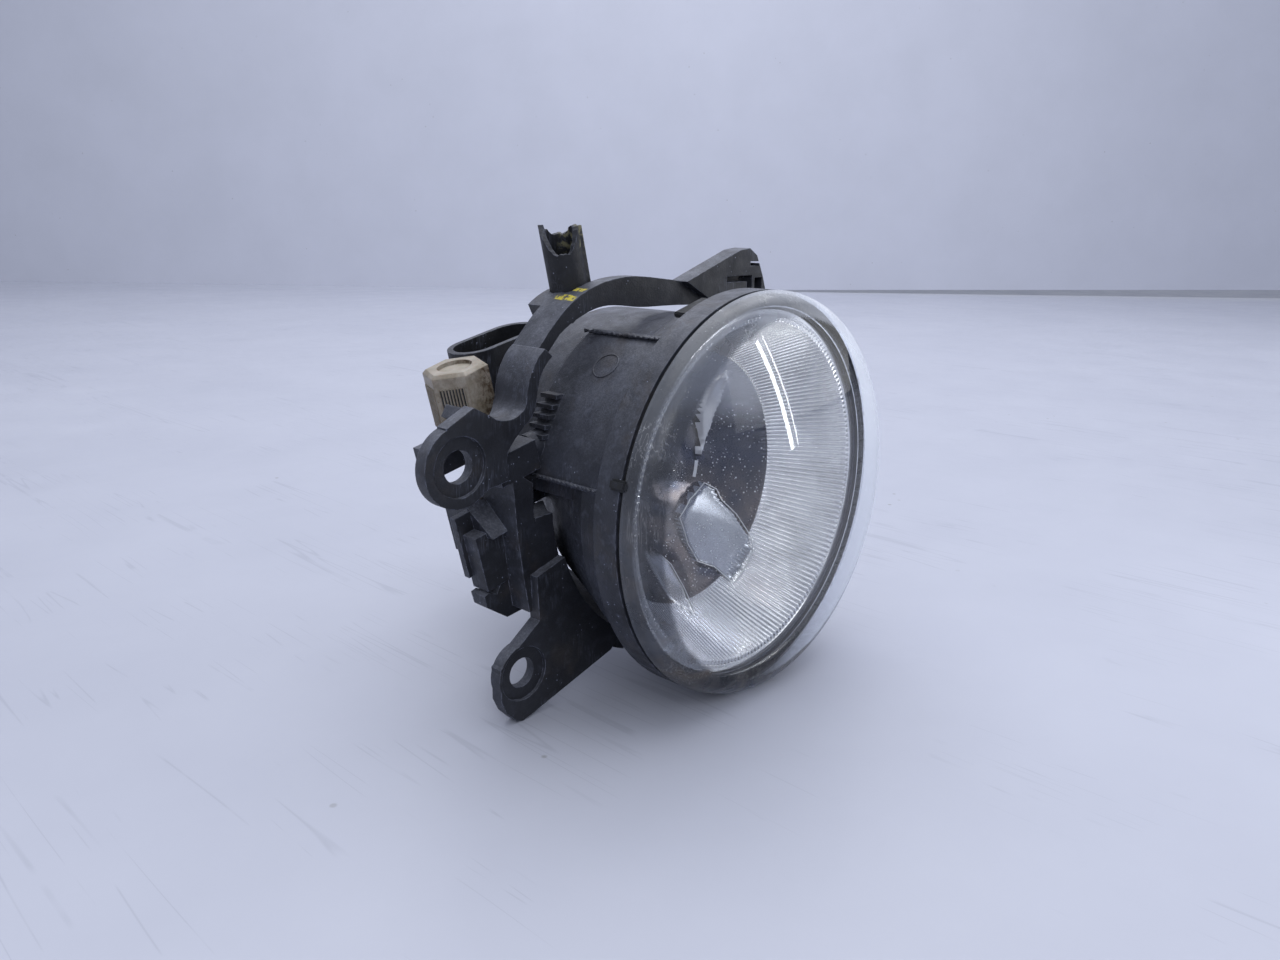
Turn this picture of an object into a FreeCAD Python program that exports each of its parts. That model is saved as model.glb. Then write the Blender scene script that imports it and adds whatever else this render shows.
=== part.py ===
import FreeCAD, Part
import math
import os

V = FreeCAD.Vector

# Round automotive fog lamp in its mounting bracket, lying as it would on a bench.
# The optical axis is the Y axis, the lens faces -Y and +Z is up. Shapes are drawn from the
# rear rim of the lens (y = 0), and each one is moved at the end so that the origin sits on
# the axis in the middle of the housing's flange rim. Millimetres and degrees.

# ---- overall sizes
LENS_R = 45.0            # outer radius of the lens
BRACKET_Y = 24.0         # front face of the bracket's plates
LEAN = 13.5              # lean of the lamp's fitted upright about the optical axis
BULB_REF_Y = 66.0        # rear face of the housing neck, where the bulb holder seats

# ---- lens and seal
LENS_CORNER = 7.0        # rounded shoulder of the lens
LENS_SLOPE = 14.0        # angle of the dome where it meets the shoulder
LENS_WALL = 3.6
SEAL_T = 1.0             # glue line between lens and housing
SEAL_INSET = 0.7
SEAL_W = 2.6

# ---- housing shell
FLANGE_T = 6.8           # axial length of the front flange
FLANGE_EDGE = 0.8        # bevel on its rear edge
FLANGE_STEP = 4.2        # height of the flange above the barrel
FLANGE_ROOT = 0.6        # small cone where the flange meets the barrel: its height and length
FLANGE_ROOT_LEN = 0.9
CROWN_DROP = 2.4         # how far the flatter crown lies below the barrel
PANEL_PROUD = 0.4        # raised side panel
PANEL_FROM = 121.5
PANEL_TO = 170.5
PANEL_END_Y = 32.0
SEAM_PROUD = 0.6         # mould seams along the panel's two long edges
SEAM_HALF = 0.5          # half of their width, in degrees
RIB_COUNT = 5            # short ribs stacked down the side of the barrel
RIB_LOW_Z = 14.5
RIB_PITCH = 2.0
RIB_T = 0.9
RIB_LEN = 5.0
RIB_PROUD = 1.6
CROWN_FROM = -4          # directions between which the flatter crown runs
CROWN_TO = 176
CROWN_END_Y = 46.0
CROWN_SIDE = 6           # solid left at each side of its hollow, in degrees
CROWN_FRONT = 3.0        # and in front of it
SHELL_WALL = 2.4
HOLLOW_SHIFT = 0.4       # the hollow's steps lie this far in front of the outside's
LIP_SEAT_IN = 3.8        # recess that seats the reflector's lip, in from the rim
LIP_SEAT_T = 2.0
LIP_RELIEF_IN = 5.1      # room for the reflector's shoulder behind its lip
NECK_BORE = 11.2
NECK_LEN = 8.0
GROOVE_DEPTH = 2.0       # bayonet groove in the neck
GROOVE_W = 4.1
NECK_WALL = 2.3          # outside the groove
GROOVE_BACK = 1.6        # wall left behind the groove
# The bowl tapers to the neck: how far it lies inside the barrel, and where.
BOWL_STEPS = [(0.0, 15.0), (2.4, 20.0), (6.0, 28.0), (9.4, 36.0), (14.8, 46.0), (21.3, 55.0)]

# ---- reflector
BOWL_MOUTH_IN = 6.6      # rim of the reflecting bowl, in from the lens's radius
FOCUS_Y = 41.0           # where the lamp's filament sits
REFL_WALL = 1.8
REFL_HOLE_R = 11.0
REFL_LIP_T = 1.6
REFL_GAP = 0.2
REFL_TAIL = 4.0

# ---- bulb
GLASS_R = 5.6
GLASS_WALL = 0.8
GLASS_TIP_Y = 25.0
PINCH_FRONT = 1.0        # the glass is pinched shut this far in front of the neck
PINCH_LEN = 4.0          # length of the pinched end
WIRE_SUNK = 5.0          # length of the wires held in it
COLLAR_R = 8.0
COLLAR_LEN = 5.0
COLLAR_IN = 1.5          # collar's rear face behind the neck's front
COIL_R = 0.9
COIL_LEN = 4.8
WIRE_R = 0.35
WIRE_X = 2.0
HOLDER_FIT = 0.6         # gap round the holder in the neck's bore
FLANGE_INSET = 0.9       # the holder's flange lies this far inside the neck's rim
HOLDER_FLANGE_T = 3.0
HOLDER_BODY_R = 11.5
HOLDER_GAP = 1.6         # between neck and holder flange, filled by the ring seal
RING_SECTION = 0.75
RING_OUT = 1.4           # the ring seal's middle lies this far outside the bore
LUG_FIT = 0.5            # gap outside the bayonet lugs in their groove
LUG_PLAY = 0.9           # and along it
LUG_SPAN = 26.0
LUG_SLACK = 4.0          # how much wider the entry slots are than the lugs
LOCK_TURN = 40.0         # turn from locked to released
LUG_ANGLES = (90, 210, 330)
SOCKET_BACK = 18.0       # centre of the connector socket behind the neck
SOCKET_TOP = 28.8        # distance of its rim from the bulb's axis
SOCKET_L = 27.6
SOCKET_W = 15.0
SOCKET_WALL = 1.6
SOCKET_DEPTH = 16.5
KEY_W = 7.0              # latch key on the socket's front
KEY_PROUD = 1.6
KEY_LOW = 12.0
KEY_HIGH = 24.0
PIN_T = 0.8
PIN_W = 2.8
PIN_PITCH = 8.0
PIN_LEN = 10.0
PIN_ROOT = 3.0

# ---- bracket
PLATE_T = 3.0
BAND_T = 2.6
BAND_W = 10.0
CREST_W = 6.0            # the hoop is narrower than that over its crest, between these directions
CREST_FROM = 20
CREST_TO = 124
LIP_W = 3.6              # axial width of the hoop's thick front edge
PAD_W = 14.0
PAD_T = 3.6
HOLE_R = 3.3             # clearance hole for an M6 screw
SEAT_R = 6.0             # sunk washer seat round each hole
SEAT_DEPTH = 0.8
EAR_R = 8.1
LOWER_EAR_R = 6.6
PLATE_GAP = 2.4          # the plates stay this far outside the barrel
LOWER_GAP = 1.8          # and the lower hoop this far outside the bowl
HOOP_SET = 2.0           # how far the hoop's front face lies behind the ears'
APRON_BACK = 18.0        # the lower hoop's apron follows the bowl this far behind the plates
APRON_T = 2.2
LOWER_FROM = -178
LOWER_TO = -112
APRON_FROM = -160

# ---- tilt pivots: the axis runs along the lamp's fitted horizontal
TILT_SET = 6.5           # how far the tilt axis lies behind the front of the bracket's plates
TILT_Z = 22.3            # height of the tilt axis above the optical axis
PIVOT_R = 2.0
PIVOT_FIT = 0.05
PIVOT_CHAMFER = 0.5
PIN_PLAY = 0.3           # gap beyond the pin in its blind bore
LUG_H = 3.2              # half height of the bracket's pivot lugs
LUG_FRONT = 4.5          # how far they reach in front of the tilt axis
LUG_BACK = 6.0           # and behind it
LUG_T = 6.0
LEFT_LUG_REACH = 4.6     # extra reach of the left lug, out to the ear
LUG_BLIND = 1.4          # wall left outside the blind bore
BOSS_R = 3.0             # pivot bosses on the housing
BOSS_LEN = 17.0
LEFT_LUG_GAP = 2.6       # inner faces of the lugs, along the tilt axis, outside the barrel
RIGHT_LUG_GAP = 1.2
PIVOT_GAP = 0.8          # between boss and lug
PIVOT_GRIP = 7.0         # pin length held in the boss

# ---- height adjuster
ADJ_OUT = 3.2            # adjuster's axis outside the barrel
ADJ_BACK = 17.5          # and behind the bracket's plates
ADJ_Z = 0.3
KNOB_AF = 12.0
KNOB_H = 12.4
KNOB_TURN = 10           # direction of its first corner
KNOB_EDGE = 0.7
KNOB_DISH_R = 3.6
KNOB_DISH = 0.8
WASHER_R = 4.8
WASHER_T = 0.8
WASHER_PLAY = 0.2        # gap between the washer and the shelf
SHANK_R = 3.0
SHANK_FIT = 0.05
SHELF_FROM = 12.0
SHELF_TO = 16.6
SHELF_REACH = 13.0
SHELF_IN = 2.0
SHELF_BACK = 2.0
THREAD_R = 2.5
THREAD_FIT = 0.05
CLIP_T = 0.9
CLIP_R = 4.6
CLIP_GROOVE_R = 2.1
CLIP_GAP = 0.3
CLIP_MOUTH = 3.2         # opening of the spring clip
NUT_HALF = 4.4
NUT_H = 4.2
NUT_CHAMFER = 0.6
NUT_PIN_R = 2.0
NUT_PIN_LEN = 7.0
FORK_SLOT_FIT = 0.15
FORK_CHEEK = 2.6
FORK_ROOT = 1.5          # how deep the fork's root is sunk in the bowl
FORK_HALF_Y = 5.0
FORK_TIP = 1.9           # gap from the nut's side to the fork's tip
FORK_SLOT = 5.6          # depth of the fork's slot
CARRIER_WALL = 1.6
CARRIER_CLEAR = 0.5
FLOOR_T = 3.2
FLOOR_AT = -8.5
CASE_TOP = 2.0           # upper edge of the walls that keep the nut from turning
WALL_OUT = 13.0          # wide front wall of the carrier: reach to the left, bottom, thickness
WALL_LOW = -12.0
STEP_OUT = 11.9          # step moulded on its front
STEP_IN = 1.5
STEP_FRONT = 10.5
STEP_TOP = -2.2
STEP_LOW = -14.8
GUSSET_FRONT = 12.4      # sloping gusset above the step
GUSSET_OUT = 9.0
GUSSET_IN = 3.6
GUSSET_H = 6.0
JOURNAL_R = 2.0
JOURNAL_LEN = 2.6
END_PLAY = 0.3           # gap under the journal
THREAD_PLAY = 0.4        # gap between the thread's end and the floor

# ---- guide tube on the bracket's pad
TUBE_R = 4.2
TUBE_BORE = 3.0
TUBE_LOW = 9.2           # height of the slanting open end above the pad
TUBE_HIGH = 14.6
TUBE_SUNK = 4.5
TUBE_FACING = 52.0       # direction in plan that the low side of the end faces
TUBE_CLEAR = 8.0         # the tube's place is cleared this far above the pad's seat
TUBE_RIB_R = 0.7         # rib moulded up the tube's front, where it stands and how far it stops short
TUBE_RIB_ROUND = -39.6   # its direction round the tube
TUBE_RIB_FROM = 0.4
TUBE_RIB_SHORT = 3.0

# ---- breather
VENT_TURN = -29.0        # direction of its axis round the neck
VENT_GAP = 1.0           # gap between its cap and the neck
VENT_STUB_R = 3.6
VENT_BORE = 1.8
VENT_FROM = 42.0
VENT_REACH = 6.0         # its bore runs on this far into the bowl
VENT_SHORT = 1.0         # the stub stops this far in front of the neck's rear face
VENT_CAP_R = 6.4
VENT_CAP_LEN = 12.0
VENT_OVERLAP = 7.4       # length of stub inside the cap
VENT_END_T = 1.5         # closed end of the cap
VENT_OUTLET_R = 1.1
FILTER_R = 2.9
FILTER_T = 1.2

OVER = 1.0               # how far a cutting shape runs past what it cuts

AXIS_Y = V(0, 1, 0)
ORIGIN = V(0, 0, 0)
GROOVE_R = NECK_BORE + GROOVE_DEPTH
NECK_R = GROOVE_R + NECK_WALL
HOLDER_R = NECK_BORE - HOLDER_FIT
HOLDER_FLANGE_R = NECK_R - FLANGE_INSET
RING_R = NECK_BORE + RING_OUT
LUG_R = GROOVE_R - LUG_FIT
LUG_W = GROOVE_W - LUG_PLAY
SOCKET_Y = BULB_REF_Y + SOCKET_BACK
VENT_X = (NECK_R + VENT_GAP + VENT_CAP_R) * math.cos(math.radians(VENT_TURN))
VENT_Z = (NECK_R + VENT_GAP + VENT_CAP_R) * math.sin(math.radians(VENT_TURN))
VENT_TO = BULB_REF_Y - VENT_SHORT
KNOB_FROM = SHELF_TO + WASHER_PLAY + WASHER_T
KNOB_TO = KNOB_FROM + KNOB_H
FLANGE_FRONT = SEAL_T
FLANGE_BACK = FLANGE_FRONT + FLANGE_T
DATUM_Y = FLANGE_FRONT + (FLANGE_T - FLANGE_EDGE) / 2
SHELL_R = LENS_R - FLANGE_STEP
TOP_R = SHELL_R - CROWN_DROP
PANEL_R = SHELL_R + PANEL_PROUD
LIP_SEAT_R = LENS_R - LIP_SEAT_IN
CLEAR_R = SHELL_R + PLATE_GAP
BOWL = [(SHELL_R - inset, y) for inset, y in BOWL_STEPS] + [(NECK_R, BULB_REF_Y - NECK_LEN)]
TILT_Y = BRACKET_Y + TILT_SET
ADJ_X = -SHELL_R - ADJ_OUT
ADJ_Y = BRACKET_Y + ADJ_BACK
BAND_BACK = BRACKET_Y + BAND_W
UP = V(-math.sin(math.radians(LEAN)), 0, math.cos(math.radians(LEAN)))
SIDE = V(math.cos(math.radians(LEAN)), 0, math.sin(math.radians(LEAN)))


# ---------------------------------------------------------------- helpers
def polar(radius, degrees, y=0.0):
    a = math.radians(degrees)
    return V(radius * math.cos(a), y, radius * math.sin(a))


def turned(points):
    """Solid of revolution about the Y axis from (radius, y) points."""
    wire = Part.makePolygon([V(r, y, 0) for r, y in points + points[:1]])
    return Part.Face(wire).revolve(ORIGIN, AXIS_Y, 360)


def turned_edges(edges):
    return Part.Face(Part.Wire(edges)).revolve(ORIGIN, AXIS_Y, 360)


def plate(points, y0, y1):
    """Prism of an XZ outline between two Y planes."""
    wire = Part.makePolygon([V(x, y0, z) for x, z in points + points[:1]])
    return Part.Face(wire).extrude(V(0, y1 - y0, 0))


def disc(centre, radius, y0, y1):
    return Part.makeCylinder(radius, y1 - y0, V(centre[0], y0, centre[1]), AXIS_Y)


def rod(radius, start, direction, length):
    return Part.makeCylinder(radius, length, start, direction)


def leaned(shape, about):
    """Turns a shape built upright about the Y line through a point onto the lean."""
    out = shape.copy()
    out.rotate(about, AXIS_Y, -LEAN)
    return out


def box(low, high):
    return Part.makeBox(high[0] - low[0], high[1] - low[1], high[2] - low[2], V(*low))


def sector(radius, start, end, y0, y1):
    """Pie slice of a cylinder round the optical axis."""
    a, b = polar(radius, start, y0), polar(radius, end, y0)
    mid = polar(radius, (start + end) / 2, y0)
    hub = V(0, y0, 0)
    wire = Part.Wire([Part.LineSegment(hub, a).toShape(), Part.Arc(a, mid, b).toShape(),
                      Part.LineSegment(b, hub).toShape()])
    return Part.Face(wire).extrude(V(0, y1 - y0, 0))


def fuse(first, *others):
    return first.multiFuse([s for s in others]).removeSplitter()


def cut(base, *tools):
    out = base
    for tool in tools:
        out = out.cut(tool)
    return out


def at(gap, degrees):
    """Point (x, z) that lies a gap outside the barrel in a direction round the axis."""
    p = polar(SHELL_R + gap, degrees)
    return p.x, p.z


def ring(points):
    return [at(gap, degrees) for gap, degrees in points]


def export(name, shape):
    placed = shape.copy()
    placed.translate(V(0, -DATUM_Y, 0))
    placed.exportStep("parts/%s.step" % name)


# ---------------------------------------------------------------- lens side
def lens_edges(offset):
    """Outline of the lens at an offset inside its outer skin, from rim to axis."""
    hub = V(LENS_R - LENS_CORNER, 0, 0)
    steep = math.radians(90 - LENS_SLOPE)
    r = LENS_CORNER - offset
    rim = hub + V(r, 0, 0)
    mid = hub + V(r * math.cos(steep / 2), -r * math.sin(steep / 2), 0)
    knee = hub + V(r * math.cos(steep), -r * math.sin(steep), 0)
    dome_r = hub.x / math.cos(steep) + r
    centre_y = math.tan(steep) * hub.x
    half = math.asin(knee.x / dome_r) / 2
    dome_mid = V(dome_r * math.sin(half), centre_y - dome_r * math.cos(half), 0)
    apex = V(0, centre_y - dome_r, 0)
    return rim, apex, Part.Arc(rim, mid, knee).toShape(), Part.Arc(knee, dome_mid, apex).toShape()


def make_lens():
    rim, apex, shoulder, dome = lens_edges(0)
    rim_in, apex_in, shoulder_in, dome_in = lens_edges(LENS_WALL)
    return turned_edges([shoulder, dome, Part.LineSegment(apex, apex_in).toShape(), dome_in,
                         shoulder_in, Part.LineSegment(rim_in, rim).toShape()])


def make_seal():
    outer = LENS_R - SEAL_INSET
    inner = outer - SEAL_W
    return turned([(inner, 0), (outer, 0), (outer, SEAL_T), (inner, SEAL_T)])


# ---------------------------------------------------------------- housing
def bowl_outside(y):
    """Outer radius of the housing's bowl at a place along the axis."""
    for (r0, y0), (r1, y1) in zip(BOWL, BOWL[1:]):
        if y <= y1:
            break
    return r0 + (r1 - r0) * (y - y0) / (y1 - y0)


def make_housing():
    outside = [(LENS_R, FLANGE_FRONT), (LENS_R, FLANGE_BACK - FLANGE_EDGE),
               (LENS_R - FLANGE_EDGE, FLANGE_BACK), (SHELL_R + FLANGE_ROOT, FLANGE_BACK + FLANGE_ROOT_LEN)]
    body = turned(outside + BOWL + [(NECK_R, BULB_REF_Y), (0, BULB_REF_Y), (0, FLANGE_FRONT)])
    crown = sector(TOP_R, CROWN_FROM, CROWN_TO, FLANGE_BACK, CROWN_END_Y)
    panel = sector(PANEL_R, PANEL_FROM, PANEL_TO, FLANGE_BACK, PANEL_END_Y)
    body = fuse(body, crown, panel, pivot_boss(-1), pivot_boss(1), make_fork(), vent_stub(), *make_ribs())
    neck_front = BULB_REF_Y - NECK_LEN
    seat_back = FLANGE_FRONT + LIP_SEAT_T
    relief = LENS_R - LIP_RELIEF_IN
    hollow = [(LIP_SEAT_R, FLANGE_FRONT - OVER), (LIP_SEAT_R, seat_back), (relief, seat_back),
              (relief, FLANGE_BACK), (SHELL_R - SHELL_WALL, FLANGE_BACK)]
    hollow += [(r - SHELL_WALL, y - HOLLOW_SHIFT) for r, y in BOWL[:-1]]
    hollow += [(NECK_BORE, neck_front), (0, neck_front), (0, FLANGE_FRONT - OVER)]
    crown_hollow = sector(TOP_R - SHELL_WALL, CROWN_FROM + CROWN_SIDE, CROWN_TO - CROWN_SIDE,
                          FLANGE_BACK + CROWN_FRONT, CROWN_END_Y - SHELL_WALL)
    bore = rod(NECK_BORE, V(0, neck_front - OVER, 0), AXIS_Y, NECK_LEN + 2 * OVER)
    groove_end = BULB_REF_Y - GROOVE_BACK
    groove = rod(GROOVE_R, V(0, groove_end - GROOVE_W, 0), AXIS_Y, GROOVE_W)
    slots = [lug_sector(GROOVE_R, LUG_SPAN + LUG_SLACK, turn + LOCK_TURN, groove_end - OVER,
                        BULB_REF_Y + OVER) for turn in LUG_ANGLES]
    vent = rod(VENT_BORE, V(VENT_X, VENT_FROM - VENT_REACH, VENT_Z), AXIS_Y,
               VENT_TO - VENT_FROM + VENT_REACH + OVER)
    return cut(body, turned(hollow), crown_hollow, bore, groove, vent, fork_slot(),
               pin_hole(-1), pin_hole(1), *slots)


def lug_sector(radius, span, middle, y0, y1):
    return sector(radius, middle - span / 2, middle + span / 2, y0, y1)


def tilt_point(s):
    return V(0, TILT_Y, TILT_Z) + SIDE * s


def lug_face(end):
    """Place along the tilt axis of a lug's inner face; end is -1 left, 1 right."""
    return end * (SHELL_R + (LEFT_LUG_GAP if end < 0 else RIGHT_LUG_GAP))


def pivot_boss(end):
    """Round boss on the housing that holds a pivot pin."""
    face = lug_face(end) - end * PIVOT_GAP
    return rod(BOSS_R, tilt_point(face - end * BOSS_LEN), SIDE * end, BOSS_LEN)


def pin_hole(end):
    face = lug_face(end) - end * PIVOT_GAP
    return rod(PIVOT_R, tilt_point(face - end * PIVOT_GRIP), SIDE * end, PIVOT_GRIP + OVER)


def make_pivot_pins():
    """Two plain dowels, pressed into the housing and free to turn in the bracket."""
    pins = []
    for end in (-1, 1):
        start = lug_face(end) - end * (PIVOT_GAP + PIVOT_GRIP)
        length = PIVOT_GRIP + PIVOT_GAP + LUG_T - LUG_BLIND - PIN_PLAY
        pin = rod(PIVOT_R, tilt_point(start), SIDE * end, length)
        pins.append(pin.makeChamfer(PIVOT_CHAMFER, [e for e in pin.Edges if e.Closed]))
    return Part.makeCompound(pins)


def adjuster_point(t):
    return V(ADJ_X, ADJ_Y, ADJ_Z) + UP * t


FORK_TIP_X = ADJ_X + NUT_HALF + FORK_TIP
FORK_HALF_Z = NUT_PIN_R + FORK_SLOT_FIT


def make_fork():
    """Lug on the bowl that the adjuster nut's pin works in."""
    root = FORK_ROOT - bowl_outside(ADJ_Y + FORK_HALF_Y)
    block = box((FORK_TIP_X, ADJ_Y - FORK_HALF_Y, ADJ_Z - FORK_HALF_Z - FORK_CHEEK),
                (root, ADJ_Y + FORK_HALF_Y, ADJ_Z + FORK_HALF_Z + FORK_CHEEK))
    return leaned(block, adjuster_point(0))


def fork_slot():
    slot = box((FORK_TIP_X - 2, ADJ_Y - FORK_HALF_Y - OVER, ADJ_Z - FORK_HALF_Z),
               (FORK_TIP_X + FORK_SLOT, ADJ_Y + FORK_HALF_Y + OVER, ADJ_Z + FORK_HALF_Z))
    return leaned(slot, adjuster_point(0))


def vent_stub():
    return rod(VENT_STUB_R, V(VENT_X, VENT_FROM, VENT_Z), AXIS_Y, VENT_TO - VENT_FROM)


def make_ribs():
    """Short ribs stacked down the side of the barrel, and the two long mould seams."""
    ribs = []
    for i in range(RIB_COUNT):
        z = RIB_LOW_Z + RIB_PITCH * i
        x = -math.sqrt(PANEL_R ** 2 - z ** 2)
        ribs.append(box((x - RIB_PROUD, PANEL_END_Y - RIB_LEN, z), (x + RIB_PROUD, PANEL_END_Y, z + RIB_T)))
    for angle in (PANEL_FROM, PANEL_TO):
        ribs.append(sector(PANEL_R + SEAM_PROUD, angle - SEAM_HALF, angle + SEAM_HALF, FLANGE_BACK - 1,
                           PANEL_END_Y - 1))
    return ribs


# ---------------------------------------------------------------- reflector and bulb
REFL_FRONT = FLANGE_FRONT + LIP_SEAT_T - REFL_LIP_T
# Parabola through the bowl's mouth with its focus at the filament.
REFL_DEPTH = FOCUS_Y - REFL_FRONT
FOCAL = (math.hypot(REFL_DEPTH, LENS_R - BOWL_MOUTH_IN) - REFL_DEPTH) / 2


def bowl_r(y):
    return math.sqrt(4 * FOCAL * (FOCUS_Y + FOCAL - y))


def make_reflector():
    seat = FLANGE_FRONT + LIP_SEAT_T
    hole_y = FOCUS_Y + FOCAL - REFL_HOLE_R ** 2 / (4 * FOCAL)
    steps = 6
    ys = [REFL_FRONT + (hole_y - REFL_FRONT) * i / steps for i in range(steps + 1)]
    inner = [V(bowl_r(y), y, 0) for y in ys]
    outer = [V(bowl_r(y) + REFL_WALL, y, 0) for y in [seat] + [y for y in ys if y > seat]]
    lip = LIP_SEAT_R - REFL_GAP
    curve_in, curve_out = Part.BSplineCurve(), Part.BSplineCurve()
    curve_in.interpolate(inner)
    curve_out.interpolate(outer)
    tail_y = hole_y + REFL_TAIL
    corners = [outer[-1], V(outer[-1].x, tail_y, 0), V(REFL_HOLE_R, tail_y, 0), inner[-1]]
    tail = [Part.LineSegment(a, b).toShape() for a, b in zip(corners, corners[1:])]
    head = [inner[0], V(lip, REFL_FRONT, 0), V(lip, seat, 0), outer[0]]
    nose = [Part.LineSegment(a, b).toShape() for a, b in zip(head, head[1:])]
    return turned_edges(nose + [curve_out.toShape()] + tail + [curve_in.toShape()])


BULB_BASE_Y = BULB_REF_Y - NECK_LEN - PINCH_FRONT
COLLAR_BACK = BULB_REF_Y - NECK_LEN + COLLAR_IN


def make_bulb_glass():
    tip = GLASS_TIP_Y + GLASS_R
    length = BULB_BASE_Y - tip
    centre = V(0, tip, 0)
    outer = fuse(rod(GLASS_R, centre, AXIS_Y, length), Part.makeSphere(GLASS_R, centre))
    r = GLASS_R - GLASS_WALL
    inner = fuse(rod(r, centre, AXIS_Y, length - PINCH_LEN), Part.makeSphere(r, centre))
    wires = [rod(WIRE_R, V(x, BULB_BASE_Y - WIRE_SUNK, 0), AXIS_Y, WIRE_SUNK + OVER)
             for x in (-WIRE_X, WIRE_X)]
    return cut(outer, inner, *wires)


def make_filament():
    """Coil on the optical axis, centred on the reflector's focus."""
    coil = rod(COIL_R, V(0, FOCUS_Y - COIL_LEN / 2, 0), AXIS_Y, COIL_LEN)
    return coil.cut(rod(COIL_R / 2, V(0, FOCUS_Y - COIL_LEN, 0), AXIS_Y, 2 * COIL_LEN))


def make_lead_wires():
    solids = []
    for x, end in ((-WIRE_X, FOCUS_Y - COIL_LEN / 2 - WIRE_R), (WIRE_X, FOCUS_Y + COIL_LEN / 2 + WIRE_R)):
        post = rod(WIRE_R, V(x, end, 0), AXIS_Y, BULB_BASE_Y - end)
        arm = rod(WIRE_R, V(x, end, 0), V(-x, 0, 0), abs(x))
        solids.append(fuse(post, arm, Part.makeSphere(WIRE_R, V(x, end, 0))))
    return Part.makeCompound(solids)


def make_collar():
    front = COLLAR_BACK - COLLAR_LEN
    return turned([(GLASS_R, front), (COLLAR_R, front), (COLLAR_R, COLLAR_BACK), (GLASS_R, COLLAR_BACK)])


def stadium(length, width, centre, z0, z1):
    """Upright prism with round ends, long along X."""
    r = width / 2
    half = length / 2 - r
    x, y = centre
    a, b = V(x - half, y - r, z0), V(x + half, y - r, z0)
    c, d = V(x + half, y + r, z0), V(x - half, y + r, z0)
    wire = Part.Wire([Part.LineSegment(a, b).toShape(), Part.Arc(b, V(x + half + r, y, z0), c).toShape(),
                      Part.LineSegment(c, d).toShape(), Part.Arc(d, V(x - half - r, y, z0), a).toShape()])
    return Part.Face(wire).extrude(V(0, 0, z1 - z0))


def pin_blades(z0, z1):
    blades = []
    for side in (-1, 1):
        x = side * PIN_PITCH / 2
        blade = box((x - PIN_W / 2, SOCKET_Y - PIN_T / 2, z0), (x + PIN_W / 2, SOCKET_Y + PIN_T / 2, z1))
        blades.append(leaned(blade, ORIGIN))
    return blades


def make_holder():
    face = BULB_REF_Y + HOLDER_GAP
    rear = face + HOLDER_FLANGE_T
    floor = SOCKET_TOP - SOCKET_DEPTH
    barrel = rod(HOLDER_R, V(0, COLLAR_BACK, 0), AXIS_Y, face - COLLAR_BACK)
    flange = rod(HOLDER_FLANGE_R, V(0, face, 0), AXIS_Y, HOLDER_FLANGE_T)
    body = rod(HOLDER_BODY_R, V(0, rear, 0), AXIS_Y, SOCKET_Y + SOCKET_W / 2 - rear)
    lug_end = BULB_REF_Y - GROOVE_BACK - (GROOVE_W - LUG_W) / 2
    lugs = [lug_sector(LUG_R, LUG_SPAN, turn, lug_end - LUG_W, lug_end) for turn in LUG_ANGLES]
    shroud = stadium(SOCKET_L, SOCKET_W, (0, SOCKET_Y), 2, SOCKET_TOP)
    cavity = stadium(SOCKET_L - 2 * SOCKET_WALL, SOCKET_W - 2 * SOCKET_WALL, (0, SOCKET_Y), floor,
                     SOCKET_TOP + OVER)
    front = SOCKET_Y - SOCKET_W / 2
    key = box((-KEY_W / 2, front - KEY_PROUD, KEY_LOW), (KEY_W / 2, front + SOCKET_WALL / 2, KEY_HIGH))
    whole = fuse(barrel, flange, body, leaned(fuse(shroud, key), ORIGIN), *lugs)
    return cut(whole, leaned(cavity, ORIGIN), *pin_blades(floor - PIN_ROOT, floor + OVER))


def make_terminals():
    floor = SOCKET_TOP - SOCKET_DEPTH
    return Part.makeCompound(pin_blades(floor - PIN_ROOT, floor + PIN_LEN))


def make_ring_seal():
    return Part.makeTorus(RING_R, RING_SECTION, V(0, BULB_REF_Y + HOLDER_GAP / 2, 0), AXIS_Y)


# ---------------------------------------------------------------- breather
def vent_rod(radius, y, length):
    return rod(radius, V(VENT_X, y, VENT_Z), AXIS_Y, length)


def make_vent_cap():
    start = VENT_TO - VENT_OVERLAP
    cup = vent_rod(VENT_CAP_R, start, VENT_CAP_LEN)
    filter_seat = vent_rod(FILTER_R, VENT_TO - OVER, FILTER_T + OVER)
    channel = vent_rod(VENT_BORE, VENT_TO, VENT_CAP_LEN - VENT_OVERLAP - VENT_END_T)
    outlet = rod(VENT_OUTLET_R, V(VENT_X, VENT_TO + FILTER_T + VENT_OUTLET_R, VENT_Z), V(0, 0, -1),
                 VENT_CAP_R + OVER)
    return cut(cup, vent_rod(VENT_STUB_R, start - OVER, VENT_OVERLAP + OVER), filter_seat, channel, outlet)


def make_vent_filter():
    return vent_rod(FILTER_R, VENT_TO, FILTER_T)


# ---------------------------------------------------------------- bracket
# Outlines are (gap outside the barrel, direction) pairs.
HOOP_OUT = [(12.5, 148.5), (12.8, 144), (12.7, 138), (12.5, 127.5), (10.8, 117), (8.2, 106.5), (5.5, 95),
            (4.2, 82), (3.6, 70), (4.6, 60), (6.0, 53)]
HOOP_IN = [(10.2, 149.5), (10.6, 144), (10.5, 138), (9.1, 129.5), (6.2, 119), (1.8, 108.5), (-0.4, 96),
           (-0.6, 83), (0.4, 70), (1.2, 60), (1.6, 53)]
SADDLE = [(22.5, 158.2), (19.6, 158.6), (16.7, 158.6), (13.4, 157.4), (11.5, 154.3), (12.4, 150.8),
          (13.2, 147.0), (12.9, 141.0)]
PAD_OUT = [(12.6, 129.5), (11.7, 123), (9.8, 117), (7.4, 112)]
LEFT_EAR = (23.8, 168.2)
LOWER_EAR = (18.8, -144.8)
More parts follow.
